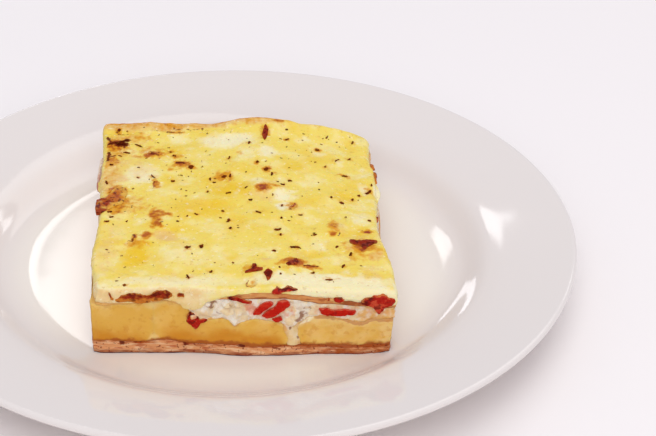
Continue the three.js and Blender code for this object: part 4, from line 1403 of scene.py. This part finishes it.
@dataclass
class MeltedTop:
    """The melted cheese: an uneven top, a rounded brow, a wall with a run of cheese, and its underside."""

    columns: int = 262
    rows: int = 282
    wall_loops: int = 12
    under_steps: tuple[float, ...] = (0.012, 0.03, 0.3, 0.8)
    outset: float = 0.3
    brow: float = 2.3

    def place(self, s: Array, t: Array, outset: Array | float) -> tuple[Array, Array]:
        """A place in the top's own plan: the slab's, with both sides shifted as the cheese has run."""
        x, y = PLAN.at(s, t, outset)
        return x + side_shift(x, y), y

    def height(self, x: Array, y: Array) -> Array:
        """The melted surface: its two profiles, the swellings, and chance unevenness of three sizes.

        A ring stands up round one burst bubble, a crease runs along the back where the cheese has slipped,
        and the back edge rises and falls.
        """
        z = CHEESE_TOP.height(x, y)
        for swelling in SWELLINGS:
            z = z + swelling.mask(x, y)
        z = z + 0.42 * flat_cloudy(x, y, 9.0, 2, 71) + 0.24 * flat_cloudy(x, y, 3.4, 3, 73)
        from_bubble = np.hypot((x - 9.4) / 0.9, (y + 62.5) / 1.2)
        z = z + 0.5 * bell((from_bubble - 2.4) / 0.7) - 0.5 * bell(from_bubble / 1.4)
        crease = 53.2 + 0.9 * np.sin(0.16 * x) + 0.8 * flat_cloudy(x, y, 7.0, 2, 77)
        strength = eased((18.0 - x) / 16.0)
        z = z + 1.5 * eased((y - 44.0) / 12.0) + through(BACK_EDGE, x) * eased((y - 50.0) / 7.0)
        return z + strength * (-0.75 * bell((y - crease) / 0.9) + 0.45 * bell((y - crease - 3.2) / 2.2))

    def foot(self, x: Array, y: Array, front: Array) -> Array:
        """Where the wall ends, as z: the cut's profile at the front, elsewhere hanging over the sheet."""
        runs = 1.8 * eased(2.4 * flat_cloudy(x, y, 8.0, 2, 79) - 0.4)
        elsewhere = SHEET_TOP.height(x, y) - 0.2 - runs
        cut = through(CHEESE_FOOT, x) + 0.3 * flat_cloudy(x, y, 2.6, 2, 78)
        return np.where(front, cut, elsewhere)

    def bulge(self, x: Array, y: Array, z: Array) -> Array:
        """How unevenly the brow and the wall stand out, the same for both so that they meet."""
        return 0.25 + 0.35 * cloudy_at(x, y, z, 3.4, 3, 97)

    def recess(self, x: Array, z: Array) -> Array:
        """How far the front brow's round has drawn back at the height z."""
        over = z - (CHEESE_TOP.height(x, np.full_like(x, -65.0)) - self.brow)
        return self.brow - np.sqrt(np.maximum(self.brow**2 - np.clip(over, 0.0, self.brow * 0.96) ** 2, 0.0))

    def round_flecks(self, x: Array, y: Array) -> tuple[Array, Array]:
        """The soft halo and the dark core that each herb fleck leaves in the cheese, as two masks."""
        halo, core = np.zeros_like(x), np.zeros_like(x)
        for fleck_x, fleck_y, run_x, run_y, width in FLECKS:
            near = (np.abs(x - fleck_x) < 4) & (np.abs(y - fleck_y) < 4)
            size = 0.5 * (math.hypot(run_x, run_y) + width)
            away = np.hypot(x[near] - fleck_x, y[near] - fleck_y)
            halo[near] = np.maximum(halo[near], bell(away / (0.5 + 0.65 * size)))
            core[near] = np.maximum(core[near], bell(away / (0.42 * size)))
        return halo, core

    def masks(self, x: Array, y: Array, on_top: Array) -> dict[str, Array]:
        """The patches of colour.

        A halo lies round each herb fleck, the back edge is toasted, and the lip and the front wall are pale.
        """
        rolled = eased((y - 52.0) / 4.0) * (0.25 + 0.75 * eased((27.0 - x) / 20.0))
        rolled = rolled * (1.05 + 0.6 * flat_cloudy(x, y, 7.0, 3, 86))
        back_width = PLAN.back_right[0] - PLAN.back_left[0]
        behind = y - lerp(PLAN.back_left[1], PLAN.back_right[1], (x - PLAN.back_left[0]) / back_width)
        back = eased((behind + 2.0) / 3.5) * (0.45 + 0.6 * flat_cloudy(x, y, 6.0, 3, 81))
        front = (1.0 - on_top) * (y < NEAR_FRONT)
        base = 0.32 + 0.85 * flat_cloudy(x, y, 12.0, 3, 83)
        milky = 0.7 * eased(1.6 * flat_cloudy(x, y, 9.0, 3, 84) - 0.1)
        halo, core = self.round_flecks(x, y)
        toast = np.maximum(patches(TOAST, x, y, 2.4, 89), 0.42 * halo) * on_top
        lip = np.maximum(front, 0.5 * eased((-58.0 - y) / 4.5))
        ends = 0.35 * eased((np.abs(x) - 22.0) / 14.0)
        pale_lip = front * eased((2.0 - x) / 14.0)
        wall_right = (1.0 - on_top) * (x > 50) * bell((y - BULGE_RIGHT) / 6.0)
        curd = np.maximum(patches(CURD, x, y, 3.4, 87), milky) + front * (0.3 + ends) + wall_right
        return {
            "butter": np.clip(np.maximum(base, patches(BUTTER, x, y, 2.6, 85)) * (1 - 0.7 * lip), 0, 1.1),
            "curd": np.clip(curd, 0, 1),
            "beige": np.clip(patches(BEIGE, x, y, 3.0, 88) + 1.1 * rolled + 0.7 * pale_lip, 0, 1.1),
            "toast": np.maximum(toast, np.clip(back + 0.34 * rolled, 0, 1)),
            "lean": patches(LEAN, x, y, 1.8, 91) * on_top,
            "char": np.maximum(patches(CHAR, x, y, 1.3, 93), 0.55 * core) * on_top,
        }

    def surface(self, s: Array, t: Array) -> tuple[Array, Array, Array, Array]:
        """The upper side over the grid of s and t, rounded off towards its edges.

        Returns:
            The x, y and z of each point, and its distance to the nearest edge.
        """
        x, y = self.place(s, t, self.outset)
        gaps = np.stack([s * SLAB_WIDTH, (1 - s) * SLAB_WIDTH, t * SLAB_DEPTH, (1 - t) * SLAB_DEPTH])
        to_edge = gaps.min(axis=0)
        z = self.height(x, y)
        thick = z - self.foot(x, y, gaps.argmin(axis=0) == 2)
        brow = self.brow * (1.0 + 0.4 * flat_cloudy(x, y, 7.0, 2, 95))
        brow = brow * (1.0 - 0.45 * eased((y - 50.0) / 6.0))
        z = z - edge_drop(to_edge, np.clip(0.8 * thick, 0.5, brow))
        x, y = self.place(s, t, self.outset + self.bulge(x, y, z) * eased(1.0 - to_edge / 3.0))
        return x, y, z, to_edge

    def wall(self, s: Array, t: Array, edge: Array) -> tuple[Array, Array]:
        """The wall's loops, hung from the surface's edge, with a belly half way down and a lump at the right.

        Args:
            s: the edge points' s.
            t: the edge points' t.
            edge: the edge points, one row each.

        Returns:
            The wall's points by loop, by point and by axis, and the height of its foot.
        """
        x, y, z = edge.T
        foot = np.minimum(self.foot(x, y, t == 0), z - 0.5)
        down = wall_steps(self.wall_loops - 3)[1:, None]
        wall_z = lerp(z[None], foot[None], down)
        side_s, side_t = np.broadcast_to(s, wall_z.shape), np.broadcast_to(t, wall_z.shape)
        bulge = self.bulge(*self.place(side_s, side_t, self.outset), wall_z)
        hang = eased((SHEET_TOP.height(x, y) - foot) / 2.0)
        lump = 1.8 * bell((y - BULGE_RIGHT) / 5.0) * (s == 1) + 0.5 * bell((y - BULGE_LEFT) / 9.0) * (s == 0)
        belly = np.sin(math.pi * down) ** 2 * (0.25 + lump[None])
        tuck = 0.2 * eased(down) * (1.0 - hang[None]) + edge_drop(wall_z - foot[None], 0.5) * 0.5
        stand = self.outset + bulge + belly + 0.6 * hang[None] * eased(down) - tuck
        return np.stack([*self.place(side_s, side_t, stand), wall_z], axis=-1), foot

    def underside(self, s: Array, t: Array, foot: Array) -> Array:
        """The underside's rings, drawn in from the wall's foot along the sheet, by ring, point and axis."""
        inward = np.array(self.under_steps)[:, None]
        x, y = self.place(lerp(s[None], 0.5, inward), lerp(t[None], 0.5, inward), 0.0)
        z = SHEET_TOP.height(x, y) + 0.1
        z[0] = np.minimum(z[0], foot + 0.1)
        return np.stack([x, y, z], axis=-1)

    def shell(self) -> Shell:
        """The upper side's grid, the wall's loops down from its edge, and the underside's rings."""
        s, t = np.meshgrid(np.linspace(0, 1, self.columns + 1), np.linspace(0, 1, self.rows + 1))
        x, y, z, to_edge = self.surface(s, t)
        grid = np.stack([x, y, z], axis=-1).reshape(-1, 3)
        number = np.arange(s.size).reshape(s.shape)
        cells = (number[:-1, :-1], number[:-1, 1:], number[1:, 1:], number[1:, :-1])
        rim = np.concatenate([number[0, :-1], number[:-1, -1], number[-1, :0:-1], number[:0:-1, 0]])
        edge_s, edge_t = s.ravel()[rim], t.ravel()[rim]
        wall, foot = self.wall(edge_s, edge_t, grid[rim])
        below = np.concatenate([wall, self.underside(edge_s, edge_t, foot)])
        loops = np.concatenate([rim[None], s.size + np.arange(below.size // 3).reshape(below.shape[:2])])
        along = np.roll(loops, -1, axis=1)
        bands = (along[:-1], loops[:-1], loops[1:], along[1:])
        quads = np.concatenate([np.stack(corners, -1).reshape(-1, 4) for corners in (cells, bands)])
        points = np.concatenate([grid, below.reshape(-1, 3), [below[-1].mean(axis=0)]])
        fan = np.stack([np.full(len(rim), len(points) - 1), along[-1], loops[-1]], axis=-1)
        on_top = np.concatenate([eased((to_edge.ravel() - 0.4) / 1.6), np.zeros(len(points) - s.size)])
        return Shell(points, quads, fan, self.masks(points[:, 0], points[:, 1], on_top))

    def build(self) -> Piece:
        """Makes the melted top and dresses it."""
        return dressed(self.shell().to_object("melted_top"), CHEESE, "melted_cheese", "cheese_top")


@dataclass
class Slab:
    """The layers of the slab, from the baked base up to the sheet under the melted top."""

    columns: int = 300
    rows: int = 250
    dough_rows: int = 210

    def build(self) -> list[Piece]:
        """Makes each layer and dresses it.

        Returns:
            The layers' objects.
        """
        size = (self.columns, self.rows)
        base = CrustLayer(
            "prosciutto_base", "baked_prosciutto",
            lambda x, y: PLATE_TOP.height(np.hypot(x, y)) + 0.03, BASE_TOP.height, *size, wall_steps(16),
        )
        cream = CreamLayer(
            "cream_filling", "cream", BASE_TOP.lifted(0.1), CREAM_TOP.lifted(0.1), *size, wall_steps(42),
        )
        sheet = SheetLayer(
            "prosciutto_sheet", "baked_prosciutto",
            CREAM_TOP.lifted(0.1), SHEET_TOP.height, *size, wall_steps(10),
        )
        made = [
            base.build("prosciutto_base_baked", CRUST),
            cream.build("cream_filling_lumpy", CREAM),
            sheet.build("prosciutto_sheet_baked", SHEET),
        ]
        for node, front, back, columns, seam_left, seam_right in (
            ("gnocchi_left", (0.0, 0.214), (0.0, 0.294), 64, 0.0, 0.9),
            ("gnocchi_middle", (0.205, 0.661), (0.286, 0.65), 134, 0.9, 4.5),
            ("gnocchi_right", (0.683, 1.0), (0.667, 1.0), 90, 4.5, 0.0),
        ):
            piece = GnocchiLayer(
                node, "gnocchi_dough", BASE_TOP.lifted(0.05), DOUGH_TOP.height, columns, self.dough_rows,
                wall_steps(34), front, back, seam_left, seam_right,
            )
            made.append(piece.build(node + "_dough", DOUGH))
        return made


# Pieces of prosciutto

# Where the slab's sides start along y, and how long the left and the right one are
SIDE_START, LEFT_LENGTH, RIGHT_LENGTH = -65.0, 125.0, 123.0


class Facing(Enum):
    """Which way a piece lies: in the front cut, on the melted top, or against the left or the right side."""

    FRONT = "front"
    TOP = "top"
    LEFT = "left"
    RIGHT = "right"


@dataclass(frozen=True)
class Morsel:
    """A piece of prosciutto drawn by its outline in mm, sunk into the food and a little proud of it."""

    node: str
    facing: Facing
    finish: Finish
    slot: str
    outline: Points
    proud: float
    sunk: float = 3.0
    crumple: float = 0.3
    seed: int = 1
    around: int = 96
    dark: tuple[float, float] = (0.0, 1.0)
    scraps: tuple[Points, ...] = ()

    def outlined(self, outline: Points) -> Array:
        """An outline as even steps, its corners softened by three passes of averaging with neighbours."""
        corners = np.array(outline, dtype=float)
        closed = np.concatenate([corners, corners[:1]])
        length = np.concatenate([[0.0], np.cumsum(np.hypot(*np.diff(closed, axis=0).T))])
        steps = np.linspace(0.0, length[-1], self.around, endpoint=False)
        ring = np.stack([np.interp(steps, length, closed[:, k]) for k in (0, 1)], axis=1)
        for _ in range(3):
            ring = 0.5 * ring + 0.25 * (np.roll(ring, 1, axis=0) + np.roll(ring, -1, axis=0))
        forward = np.roll(ring, -1, axis=0) - np.roll(ring, 1, axis=0)
        normal = np.stack([forward[:, 1], -forward[:, 0]], axis=1) / np.hypot(*forward.T)[:, None]
        noise = flat_cloudy(ring[:, 0] + 7.0 * self.seed, ring[:, 1], 1.6, 3, self.seed)
        return ring + normal * (0.9 * self.crumple * noise)[:, None]

    def carried(self, a: Array, b: Array, c: Array, top: MeltedTop) -> Array:
        """Turns outline coordinates and a height off the surface into places in the slab.

        Args:
            a: along the outline's first axis.
            b: along its second.
            c: the height off the surface that the piece lies on.
            top: the melted top, for pieces that lie on it.

        Returns:
            The places, with the axes last.
        """
        if self.facing is Facing.FRONT:
            return np.stack([a, PLAN.front(a) + top.recess(a, b) - 0.2 - c, b], axis=-1)
        if self.facing is Facing.TOP:
            return np.stack([a, b, top.height(a, b) + c], axis=-1)
        if self.facing is Facing.LEFT:
            x, _ = top.place(np.zeros_like(a), (a - SIDE_START) / LEFT_LENGTH, top.outset)
            return np.stack([x - c, a, b], axis=-1)
        x, _ = top.place(np.ones_like(a), (a - SIDE_START) / RIGHT_LENGTH, top.outset)
        return np.stack([x + c, a, b], axis=-1)

    def shell(self, outline: Points, top: MeltedTop) -> Shell:
        """Rings from the sunk back, over the edge, to the crown, each drawn in from the outline.

        The crown is crumpled by folds that run along the piece's longer way.

        Args:
            outline: the piece's own outline, or one of its scraps'.
            top: the melted top.

        Returns:
            The closed shell, with masks for its rim, its broad edge, its dark end and the end against that.
        """
        ring = self.outlined(outline)
        middle = ring.mean(axis=0)
        crown = np.linspace(0.22, 0.95, 14)
        inward = np.concatenate([[0.8, 0.4, 0.15], np.full(5, 0.02), [0.0, 0.02, 0.07, 0.14], crown])
        back, side = np.full(3, -self.sunk), np.linspace(-self.sunk, 0.0, 5)
        turn = self.proud * np.array([0.2, 0.5, 0.78, 0.92])
        depth = np.concatenate([back, side, turn, np.full(len(crown), self.proud)])
        flat = lerp(ring[None], middle[None, None], inward[:, None, None])
        a, b = flat[..., 0], flat[..., 1]
        held = np.full(a.shape, 2.3 * self.seed)
        spread = np.ptp(ring, axis=0)
        squeeze = (0.45, 1.0) if spread[0] > spread[1] else (1.0, 0.45)
        folds = 1.0 - 2.0 * np.abs(cloudy_at(a * squeeze[0], b * squeeze[1], held, 2.2, 3, self.seed + 3))
        fine = cloudy_at(a, b, held, 0.9, 2, self.seed + 9)
        lifted = eased(depth / max(self.proud, 0.01) + 0.2)[:, None]
        c = depth[:, None] + lifted * self.crumple * (0.9 * folds + 0.35 * fine - 0.2)
        rim, edge = (
            np.broadcast_to(np.clip(1.0 - inward / reach, 0, 1)[:, None], a.shape) for reach in (0.3, 0.75)
        )
        towards = (a - middle[0]) * self.dark[0] / spread[0] + (b - middle[1]) * self.dark[1] / spread[1]
        dark, heel = eased(0.35 + 1.3 * towards), eased(0.45 - 1.5 * towards)
        return lofted(self.carried(a, b, c, top), {"rim": rim, "edge": edge, "dark": dark, "heel": heel})

    def build(self, top: MeltedTop) -> Piece:
        """Makes the piece with its scraps and dresses it."""
        made = joined([self.shell(outline, top) for outline in (self.outline, *self.scraps)])
        return dressed(made.to_object(self.node + "_piece"), self.finish, self.slot, self.node)


RED, CRISP = "red_prosciutto", "crisp_prosciutto"
MORSELS = (
    Morsel("prosciutto_strip_upper", Facing.FRONT, RED_HAM, RED,
           ((9.6, 25.4), (10.2, 27.2), (12.4, 29.8), (14.6, 31.2), (16.6, 31.2), (17.4, 30.1), (15.8, 28.5),
            (14, 27.1), (12, 25.5)),
           proud=0.9, sunk=6.0, crumple=0.34, seed=1),
    Morsel("prosciutto_strip_broad", Facing.FRONT, RED_HAM, RED,
           ((12.6, 24.6), (14.4, 26.6), (17.8, 28.6), (19, 31), (21, 31.9), (23, 31.3), (23.8, 29.4),
            (22, 27.8), (19.6, 25.9), (17.2, 24.3), (14.6, 23.8)),
           proud=1.1, sunk=6.0, crumple=0.36, seed=2),
    Morsel("prosciutto_strip_short", Facing.FRONT, RED_HAM, RED,
           ((16.7, 23.3), (18.2, 23.9), (20, 24.3), (20.9, 22.8), (19.6, 21.9), (17.8, 22.1)),
           proud=0.9, sunk=5.0, seed=3),
    Morsel("prosciutto_strip_flat", Facing.FRONT, RED_HAM, RED,
           ((34, 27.7), (35.4, 24.8), (42, 24.2), (44.8, 24.5), (45.6, 25.5), (48, 24.9), (48.5, 26.9),
            (44, 27.3), (40.5, 26.9), (37, 27.7)),
           proud=0.9, sunk=6.0, crumple=0.36, seed=4),
    Morsel("prosciutto_fold_front", Facing.FRONT, CRIMSON_HAM, RED,
           ((-15.7, 21.4), (-14.9, 24.6), (-14, 26), (-12.6, 25.2), (-11.4, 24.4), (-10.2, 22.6),
            (-9.2, 22.9), (-7.4, 22.3), (-8.4, 21.3), (-10.1, 21), (-10.6, 19.4), (-12, 17.7), (-13.8, 19.7)),
           proud=0.8, sunk=4.0, crumple=0.35, seed=5, around=120),
    Morsel("prosciutto_crust_left", Facing.FRONT, CRISP_HAM, CRISP,
           ((-42.2, 31), (-41.4, 32.2), (-40, 33.5), (-38, 33.8), (-36.5, 34.4), (-33, 34.1), (-30.6, 33.9),
            (-28.8, 33.2), (-27.5, 34.6), (-25, 35.3), (-22.4, 35.5), (-20.8, 34.6), (-20.0, 33.2),
            (-21.4, 32.1), (-25.5, 31), (-28.5, 30.8), (-30.5, 30.2), (-33, 30.1), (-35.2, 31), (-38, 31.1)),
           proud=1.0, sunk=4.0, crumple=0.75, seed=6, around=180, dark=(0.1, 1.5),
           scraps=(
               ((-18.6, 33.2), (-17.8, 34.5), (-16, 34), (-15.8, 32.9)),
               ((-44.2, 34.9), (-43.4, 34.9), (-42.4, 32.2), (-43.2, 32.3)),
           )),
    Morsel("prosciutto_crust_right", Facing.FRONT, CRIMSON_HAM, CRISP,
           ((49.6, 30.4), (50.2, 31.6), (51.5, 33), (54, 33.6), (58, 34.6), (59.8, 34.4), (60.4, 33.3),
            (61.4, 33.4), (63, 32.6), (63.4, 31.2), (62.6, 29.8), (59.4, 29.2), (58.6, 27.8), (57, 26.1),
            (55.8, 27.2), (55, 28.8), (53, 29.5)),
           proud=1.2, sunk=4.0, crumple=0.6, seed=7, around=180, dark=(-1.0, 0.3)),
    Morsel("prosciutto_curl", Facing.FRONT, CRIMSON_HAM, CRISP,
           ((-0.3, 32.8), (1.4, 33.6), (3.8, 33.2), (6, 32.2), (9.5, 31.4), (9.3, 30.4), (6, 30.8),
            (3.4, 31.9), (1, 32.2)),
           proud=1.0, crumple=0.25, seed=8, dark=(-1.2, 0.0)),
    Morsel("prosciutto_bit_front", Facing.FRONT, CRIMSON_HAM, CRISP,
           ((39.8, 32.4), (41.2, 33.1), (43, 32.9), (43.9, 31.6), (42, 30.9), (40.1, 31)),
           proud=1.2, crumple=0.35, seed=9,
           scraps=(
               ((37.5, 31.6), (38, 32.5), (38.6, 31.9)),
           )),
    Morsel("prosciutto_bit_brow", Facing.FRONT, CRIMSON_HAM, CRISP,
           ((16.4, 35.2), (17, 36.5), (18.6, 37.2), (20.4, 36.7), (22, 37.1), (24, 36.9), (26.6, 36.1),
            (23, 35.9), (20.6, 35.6), (19.4, 34.4), (17.2, 34.5)),
           proud=1.0, seed=10, around=140, dark=(0.4, 1.1)),
    Morsel("prosciutto_lump_left", Facing.TOP, GLOWING_HAM, CRISP,
           ((-54.0, -0.8), (-51.5, -0.6), (-49.4, 1.5), (-48, 5), (-45.5, 9.8), (-43.5, 7.5), (-41.8, 3),
            (-42.4, -1.5), (-43.4, -5.6), (-46, -6.6), (-48.4, -8.5), (-50.4, -10.5), (-53.6, -10.8),
            (-54.1, -6)),
           proud=0.12, sunk=1.5, crumple=0.26, seed=11, around=180, dark=(-1.3, -0.5)),
    Morsel("prosciutto_crisp_right", Facing.TOP, BURNT_HAM, CRISP,
           ((46.8, -31.2), (49, -32), (51, -32.2), (53.5, -30.4), (57.8, -30.4), (57.6, -33), (56, -34),
            (54.4, -35.8), (53, -37.6), (51.8, -38.2), (51.2, -36.8), (50.5, -35.2), (48, -35),
            (46.8, -33.6)),
           proud=0.25, sunk=2.0, crumple=0.35, seed=12, around=160, dark=(0.0, 0.0)),
    Morsel("prosciutto_crisp_back", Facing.TOP, BURNT_HAM, CRISP,
           ((13.5, 54.2), (14.7, 51), (14.3, 47), (13.2, 42.8), (12.4, 45), (11.9, 48), (12.7, 51.5)),
           proud=0.3, sunk=2.0, seed=13),
    Morsel("prosciutto_crisp_front", Facing.TOP, BURNT_HAM, CRISP,
           ((9.3, -49.8), (10.6, -49.8), (11, -52.8), (13.4, -53.8), (13.2, -55.1), (10, -55.3), (6.4, -55.8),
            (6.4, -54.6), (8.4, -53.8), (9.4, -52.6)),
           proud=0.35, sunk=2.0, crumple=0.35, seed=14, around=120),
    Morsel("prosciutto_crisp_small", Facing.TOP, BURNT_HAM, CRISP,
           ((15.2, -54.4), (17, -56), (16.7, -58), (16, -60.4), (15, -61.2), (14.4, -58.5), (13.6, -56.5)),
           proud=0.4, sunk=2.0, crumple=0.35, seed=15),
    Morsel("prosciutto_crisp_dark", Facing.TOP, BURNT_HAM, CRISP,
           ((26.2, -45.8), (27, -49), (26.2, -51), (23, -52), (21.8, -50.6), (24.4, -48.8)),
           proud=0.25, sunk=2.0, seed=16),
    Morsel("prosciutto_crisp_middle", Facing.TOP, GLOWING_HAM, CRISP,
           ((25.7, -4.8), (26.5, -7), (25.6, -9.6), (22.7, -10.3), (24.2, -8)),
           proud=0.2, sunk=2.0, crumple=0.2, seed=17),
    Morsel("prosciutto_edge_left", Facing.LEFT, PALE_HAM, CRISP,
           ((11, 31.6), (16, 32.8), (22, 33.6), (30, 34.2), (35, 33.8), (38, 33), (33, 32.2), (24, 31.6),
            (16, 31.2)),
           proud=1.3, sunk=2.0, crumple=0.25, seed=18, around=140, dark=(1.0, 0.0)),
    Morsel("prosciutto_side_left_front", Facing.LEFT, CRISP_HAM, CRISP,
           ((-43, 30.4), (-39, 32.0), (-34, 31.6), (-32.6, 30.4), (-37, 29.8)),
           proud=0.7, sunk=2.0, crumple=0.35, seed=19),
    Morsel("prosciutto_side_right_back", Facing.RIGHT, CRISP_HAM, CRISP,
           ((21, 30.0), (24, 30.7), (28, 31.0), (30.4, 30.6), (27, 29.9)),
           proud=1.3, sunk=1.6, crumple=0.25, seed=20, dark=(0.6, 0.0),
           scraps=(
               ((33.0, 29.6), (35.4, 30.5), (37.6, 30.2), (35.6, 29.4)),
           )),
    Morsel("prosciutto_side_right_front", Facing.RIGHT, CRIMSON_HAM, CRISP,
           ((-10.6, 31.0), (-9.4, 31.8), (-8.0, 32.4), (-7.0, 31.8), (-7.6, 31.0), (-9.2, 30.6)),
           proud=1.0, sunk=2.0, crumple=0.2, seed=21),
)


# Dried herbs


@dataclass
class HerbFlecks:
    """Dried herbs on the melted top: curled flakes of many sizes, joined into one piece."""

    crumbs: int = 130
    seed: int = 20
    ends: int = 8
    around: int = 10

    def scattered_crumbs(self, chance: np.random.Generator) -> Array:
        """Small crumbs, thicker towards the back left.

        Args:
            chance: the source of chance numbers.

        Returns:
            One row for each crumb, the same as for the flecks that stand out.
        """
        s, t = chance.random((2, self.crumbs * 3))
        keep = chance.random(self.crumbs * 3) < 0.3 + 0.7 * t * (1.0 - 0.4 * s)
        x, y = PLAN.at(0.04 + 0.92 * s[keep][: self.crumbs], 0.03 + 0.94 * t[keep][: self.crumbs])
        length = chance.uniform(0.5, 1.3, len(x))
        turn = chance.uniform(-0.6, 1.9, len(x))
        return np.stack([x, y, length * np.cos(turn), length * np.sin(turn), length * 0.6], axis=1)

    def shell(self, top: MeltedTop) -> Shell:
        """Each fleck is a flattened ball, torn and bent over, laid on the melted top.

        For an angle u round it and v from end to end, a fleck's half width is the sine of v to the power 0.6
        times a chance amount, its length follows the cosine of v, and its middle line bends with the square
        of the way along.

        Args:
            top: the melted top.

        Returns:
            All the flecks as one shell.
        """
        chance = np.random.default_rng(self.seed)
        rows = np.concatenate([np.array(FLECKS), self.scattered_crumbs(chance)])
        count = len(rows)
        middle_x, middle_y, run_x, run_y, wide = rows.T[:, :, None, None]
        turn = np.arctan2(run_y, run_x)
        half = 0.5 * np.hypot(run_x, run_y)
        width = 0.56 * wide
        thick = np.clip(width * 0.35, 0.08, 0.18)
        bend = chance.uniform(-0.3, 0.3, count)[:, None, None]
        torn = chance.uniform(0.45, 1.3, (count, self.ends, self.around))
        torn = torn * chance.uniform(0.6, 1.2, (count, self.ends, 1))
        u = np.linspace(0, 2 * math.pi, self.around, endpoint=False)[None, None, :]
        v = np.linspace(0.2, math.pi - 0.2, self.ends)[None, :, None]
        slim = np.sin(v) ** 0.6
        along = -np.cos(v) * half * np.ones_like(u)
        across = slim * np.cos(u) * width * torn + bend * half * np.cos(v) ** 2
        up = slim * np.sin(u) * thick + 0.1 * np.cos(v) ** 2 * half
        x = middle_x + along * np.cos(turn) - across * np.sin(turn)
        y = middle_y + along * np.sin(turn) + across * np.cos(turn)
        rings = np.stack([x, y, top.height(x, y) + up + 0.02], axis=-1)
        leaves, specks = len(FLECKS), count - len(FLECKS)
        shades = np.concatenate([chance.uniform(0.0, 0.6, leaves), chance.uniform(0.5, 1.0, specks)])
        size = (self.ends, self.around)
        return joined([lofted(one, {"shade": np.full(size, shade)}) for one, shade in zip(rings, shades)])

    def build(self, top: MeltedTop) -> Piece:
        """Makes the flecks and dresses them."""
        return dressed(self.shell(top).to_object("herb_flecks"), HERB, CRISP)


# The setting


def lamp(
    name: str,
    heading: float,
    climb: float,
    away: float,
    size: tuple[float, float],
    power: float,
    colour: tuple[float, float, float] = (1.0, 1.0, 1.0),
    roll: float = 0.0,
) -> Piece:
    """A soft rectangular light that looks at the dish.

    Args:
        name: the light's name.
        heading: degrees from straight behind the dish, positive to the right.
        climb: degrees above the table.
        away: its distance in metres.
        size: its width and height in metres.
        power: its power in watts.
        colour: its colour.
        roll: degrees that it is turned clockwise in its own plane, seen from the dish.

    Returns:
        The light.
    """
    light = bpy.data.lights.new(name, "AREA")
    light.shape = "RECTANGLE"
    light.size, light.size_y = size
    light.energy = power
    light.color = colour
    made = bpy.data.objects.new(name, light)
    turn, tilt = math.radians(heading), math.radians(climb)
    level = math.cos(tilt)
    made.location = Vector((math.sin(turn) * level, math.cos(turn) * level, math.sin(tilt))) * away
    aimed = (-made.location).to_track_quat("-Z", "Y") @ Quaternion((0.0, 0.0, 1.0), math.radians(roll))
    made.rotation_euler = aimed.to_euler()
    bpy.context.scene.collection.objects.link(made)
    return made


@dataclass
class Setting:
    """The pale table, soft daylight and the camera."""

    focal_mm: float = 100.8
    place: tuple[float, float, float] = (0.0198, -0.6335, 0.4205)
    looking: tuple[float, float, float] = (0.026, 0.849, -0.5277)
    roll_degrees: float = 1.05

    def camera(self) -> None:
        """The camera at the fitted place: its axes from the direction it looks in, then rolled."""
        forward = Vector(self.looking).normalized()
        right = forward.cross(Vector((0, 0, 1))).normalized()
        up = right.cross(forward)
        roll = math.radians(self.roll_degrees)
        rolled_right = right * math.cos(roll) + up * math.sin(roll)
        rolled_up = up * math.cos(roll) - right * math.sin(roll)
        data = bpy.data.cameras.new("camera")
        data.lens = self.focal_mm
        data.sensor_width = 36.0
        camera = bpy.data.objects.new("camera", data)
        axes = Matrix((rolled_right, rolled_up, -forward)).transposed()
        camera.matrix_world = Matrix.Translation(Vector(self.place)) @ axes.to_4x4()
        bpy.context.scene.collection.objects.link(camera)
        bpy.context.scene.camera = camera

    def table(self) -> None:
        """A wide pale table top."""
        mesh = bpy.data.meshes.new("table_top")
        mesh.from_pydata([(-3, -3, 0), (3, -3, 0), (3, 3, 0), (-3, 3, 0)], [], [(0, 1, 2, 3)])
        table = bpy.data.objects.new("table_top", mesh)
        bpy.context.scene.collection.objects.link(table)
        material = bpy.data.materials.new("table_paint")
        material.use_nodes = True
        shader = material.node_tree.nodes["Principled BSDF"]
        shader.inputs["Base Color"].default_value = linear((247, 241, 240))
        shader.inputs["Roughness"].default_value = 0.5
        mesh.materials.append(material)

    def light(self) -> None:
        """An even pale room, three lamps behind that shine on the plate, a broad one, and two in front."""
        world = bpy.data.worlds.new("room")
        world.use_nodes = True
        background = world.node_tree.nodes["Background"]
        background.inputs["Color"].default_value = (0.89, 0.905, 1.0, 1.0)
        background.inputs["Strength"].default_value = 0.6
        bpy.context.scene.world = world
        lamp("window", -6.9, 34.8, 2.6, (0.228, 0.178), 0.5, roll=25.0)
        lamp("second_window", 31.0, 33.0, 2.6, (0.28, 0.24), 0.8)
        lamp("pale_wall", -13.5, 5.6, 2.6, (0.38, 0.46), 1.4, (0.94, 0.96, 1.0))
        lamp("broad_daylight", 34.0, 58.0, 2.2, (1.6, 1.6), 10.7, (1.0, 0.98, 0.94))
        lamp("room_front", 176.0, 34.0, 2.6, (2.0, 1.5), 18.0, (1.0, 0.98, 0.95))
        lamp("room_above_front", 184.0, 62.0, 2.4, (1.6, 1.4), 12.0, (1.0, 0.99, 0.96))

    def build(self) -> None:
        """Sets the camera, the table and the lights, and a plain view of the colours."""
        self.camera()
        self.table()
        self.light()
        bpy.context.scene.view_settings.view_transform = "Standard"


def main() -> None:
    """Builds the setting, the plate, the slab, its melted top, the prosciutto and the herbs."""
    logging.basicConfig(level=logging.INFO, format="%(message)s")
    Setting().build()
    Plate().build()
    Slab().build()
    top = MeltedTop()
    top.build()
    for morsel in MORSELS:
        morsel.build(top)
    HerbFlecks().build(top)
    bpy.context.view_layer.update()


if __name__ == "__main__":
    main()
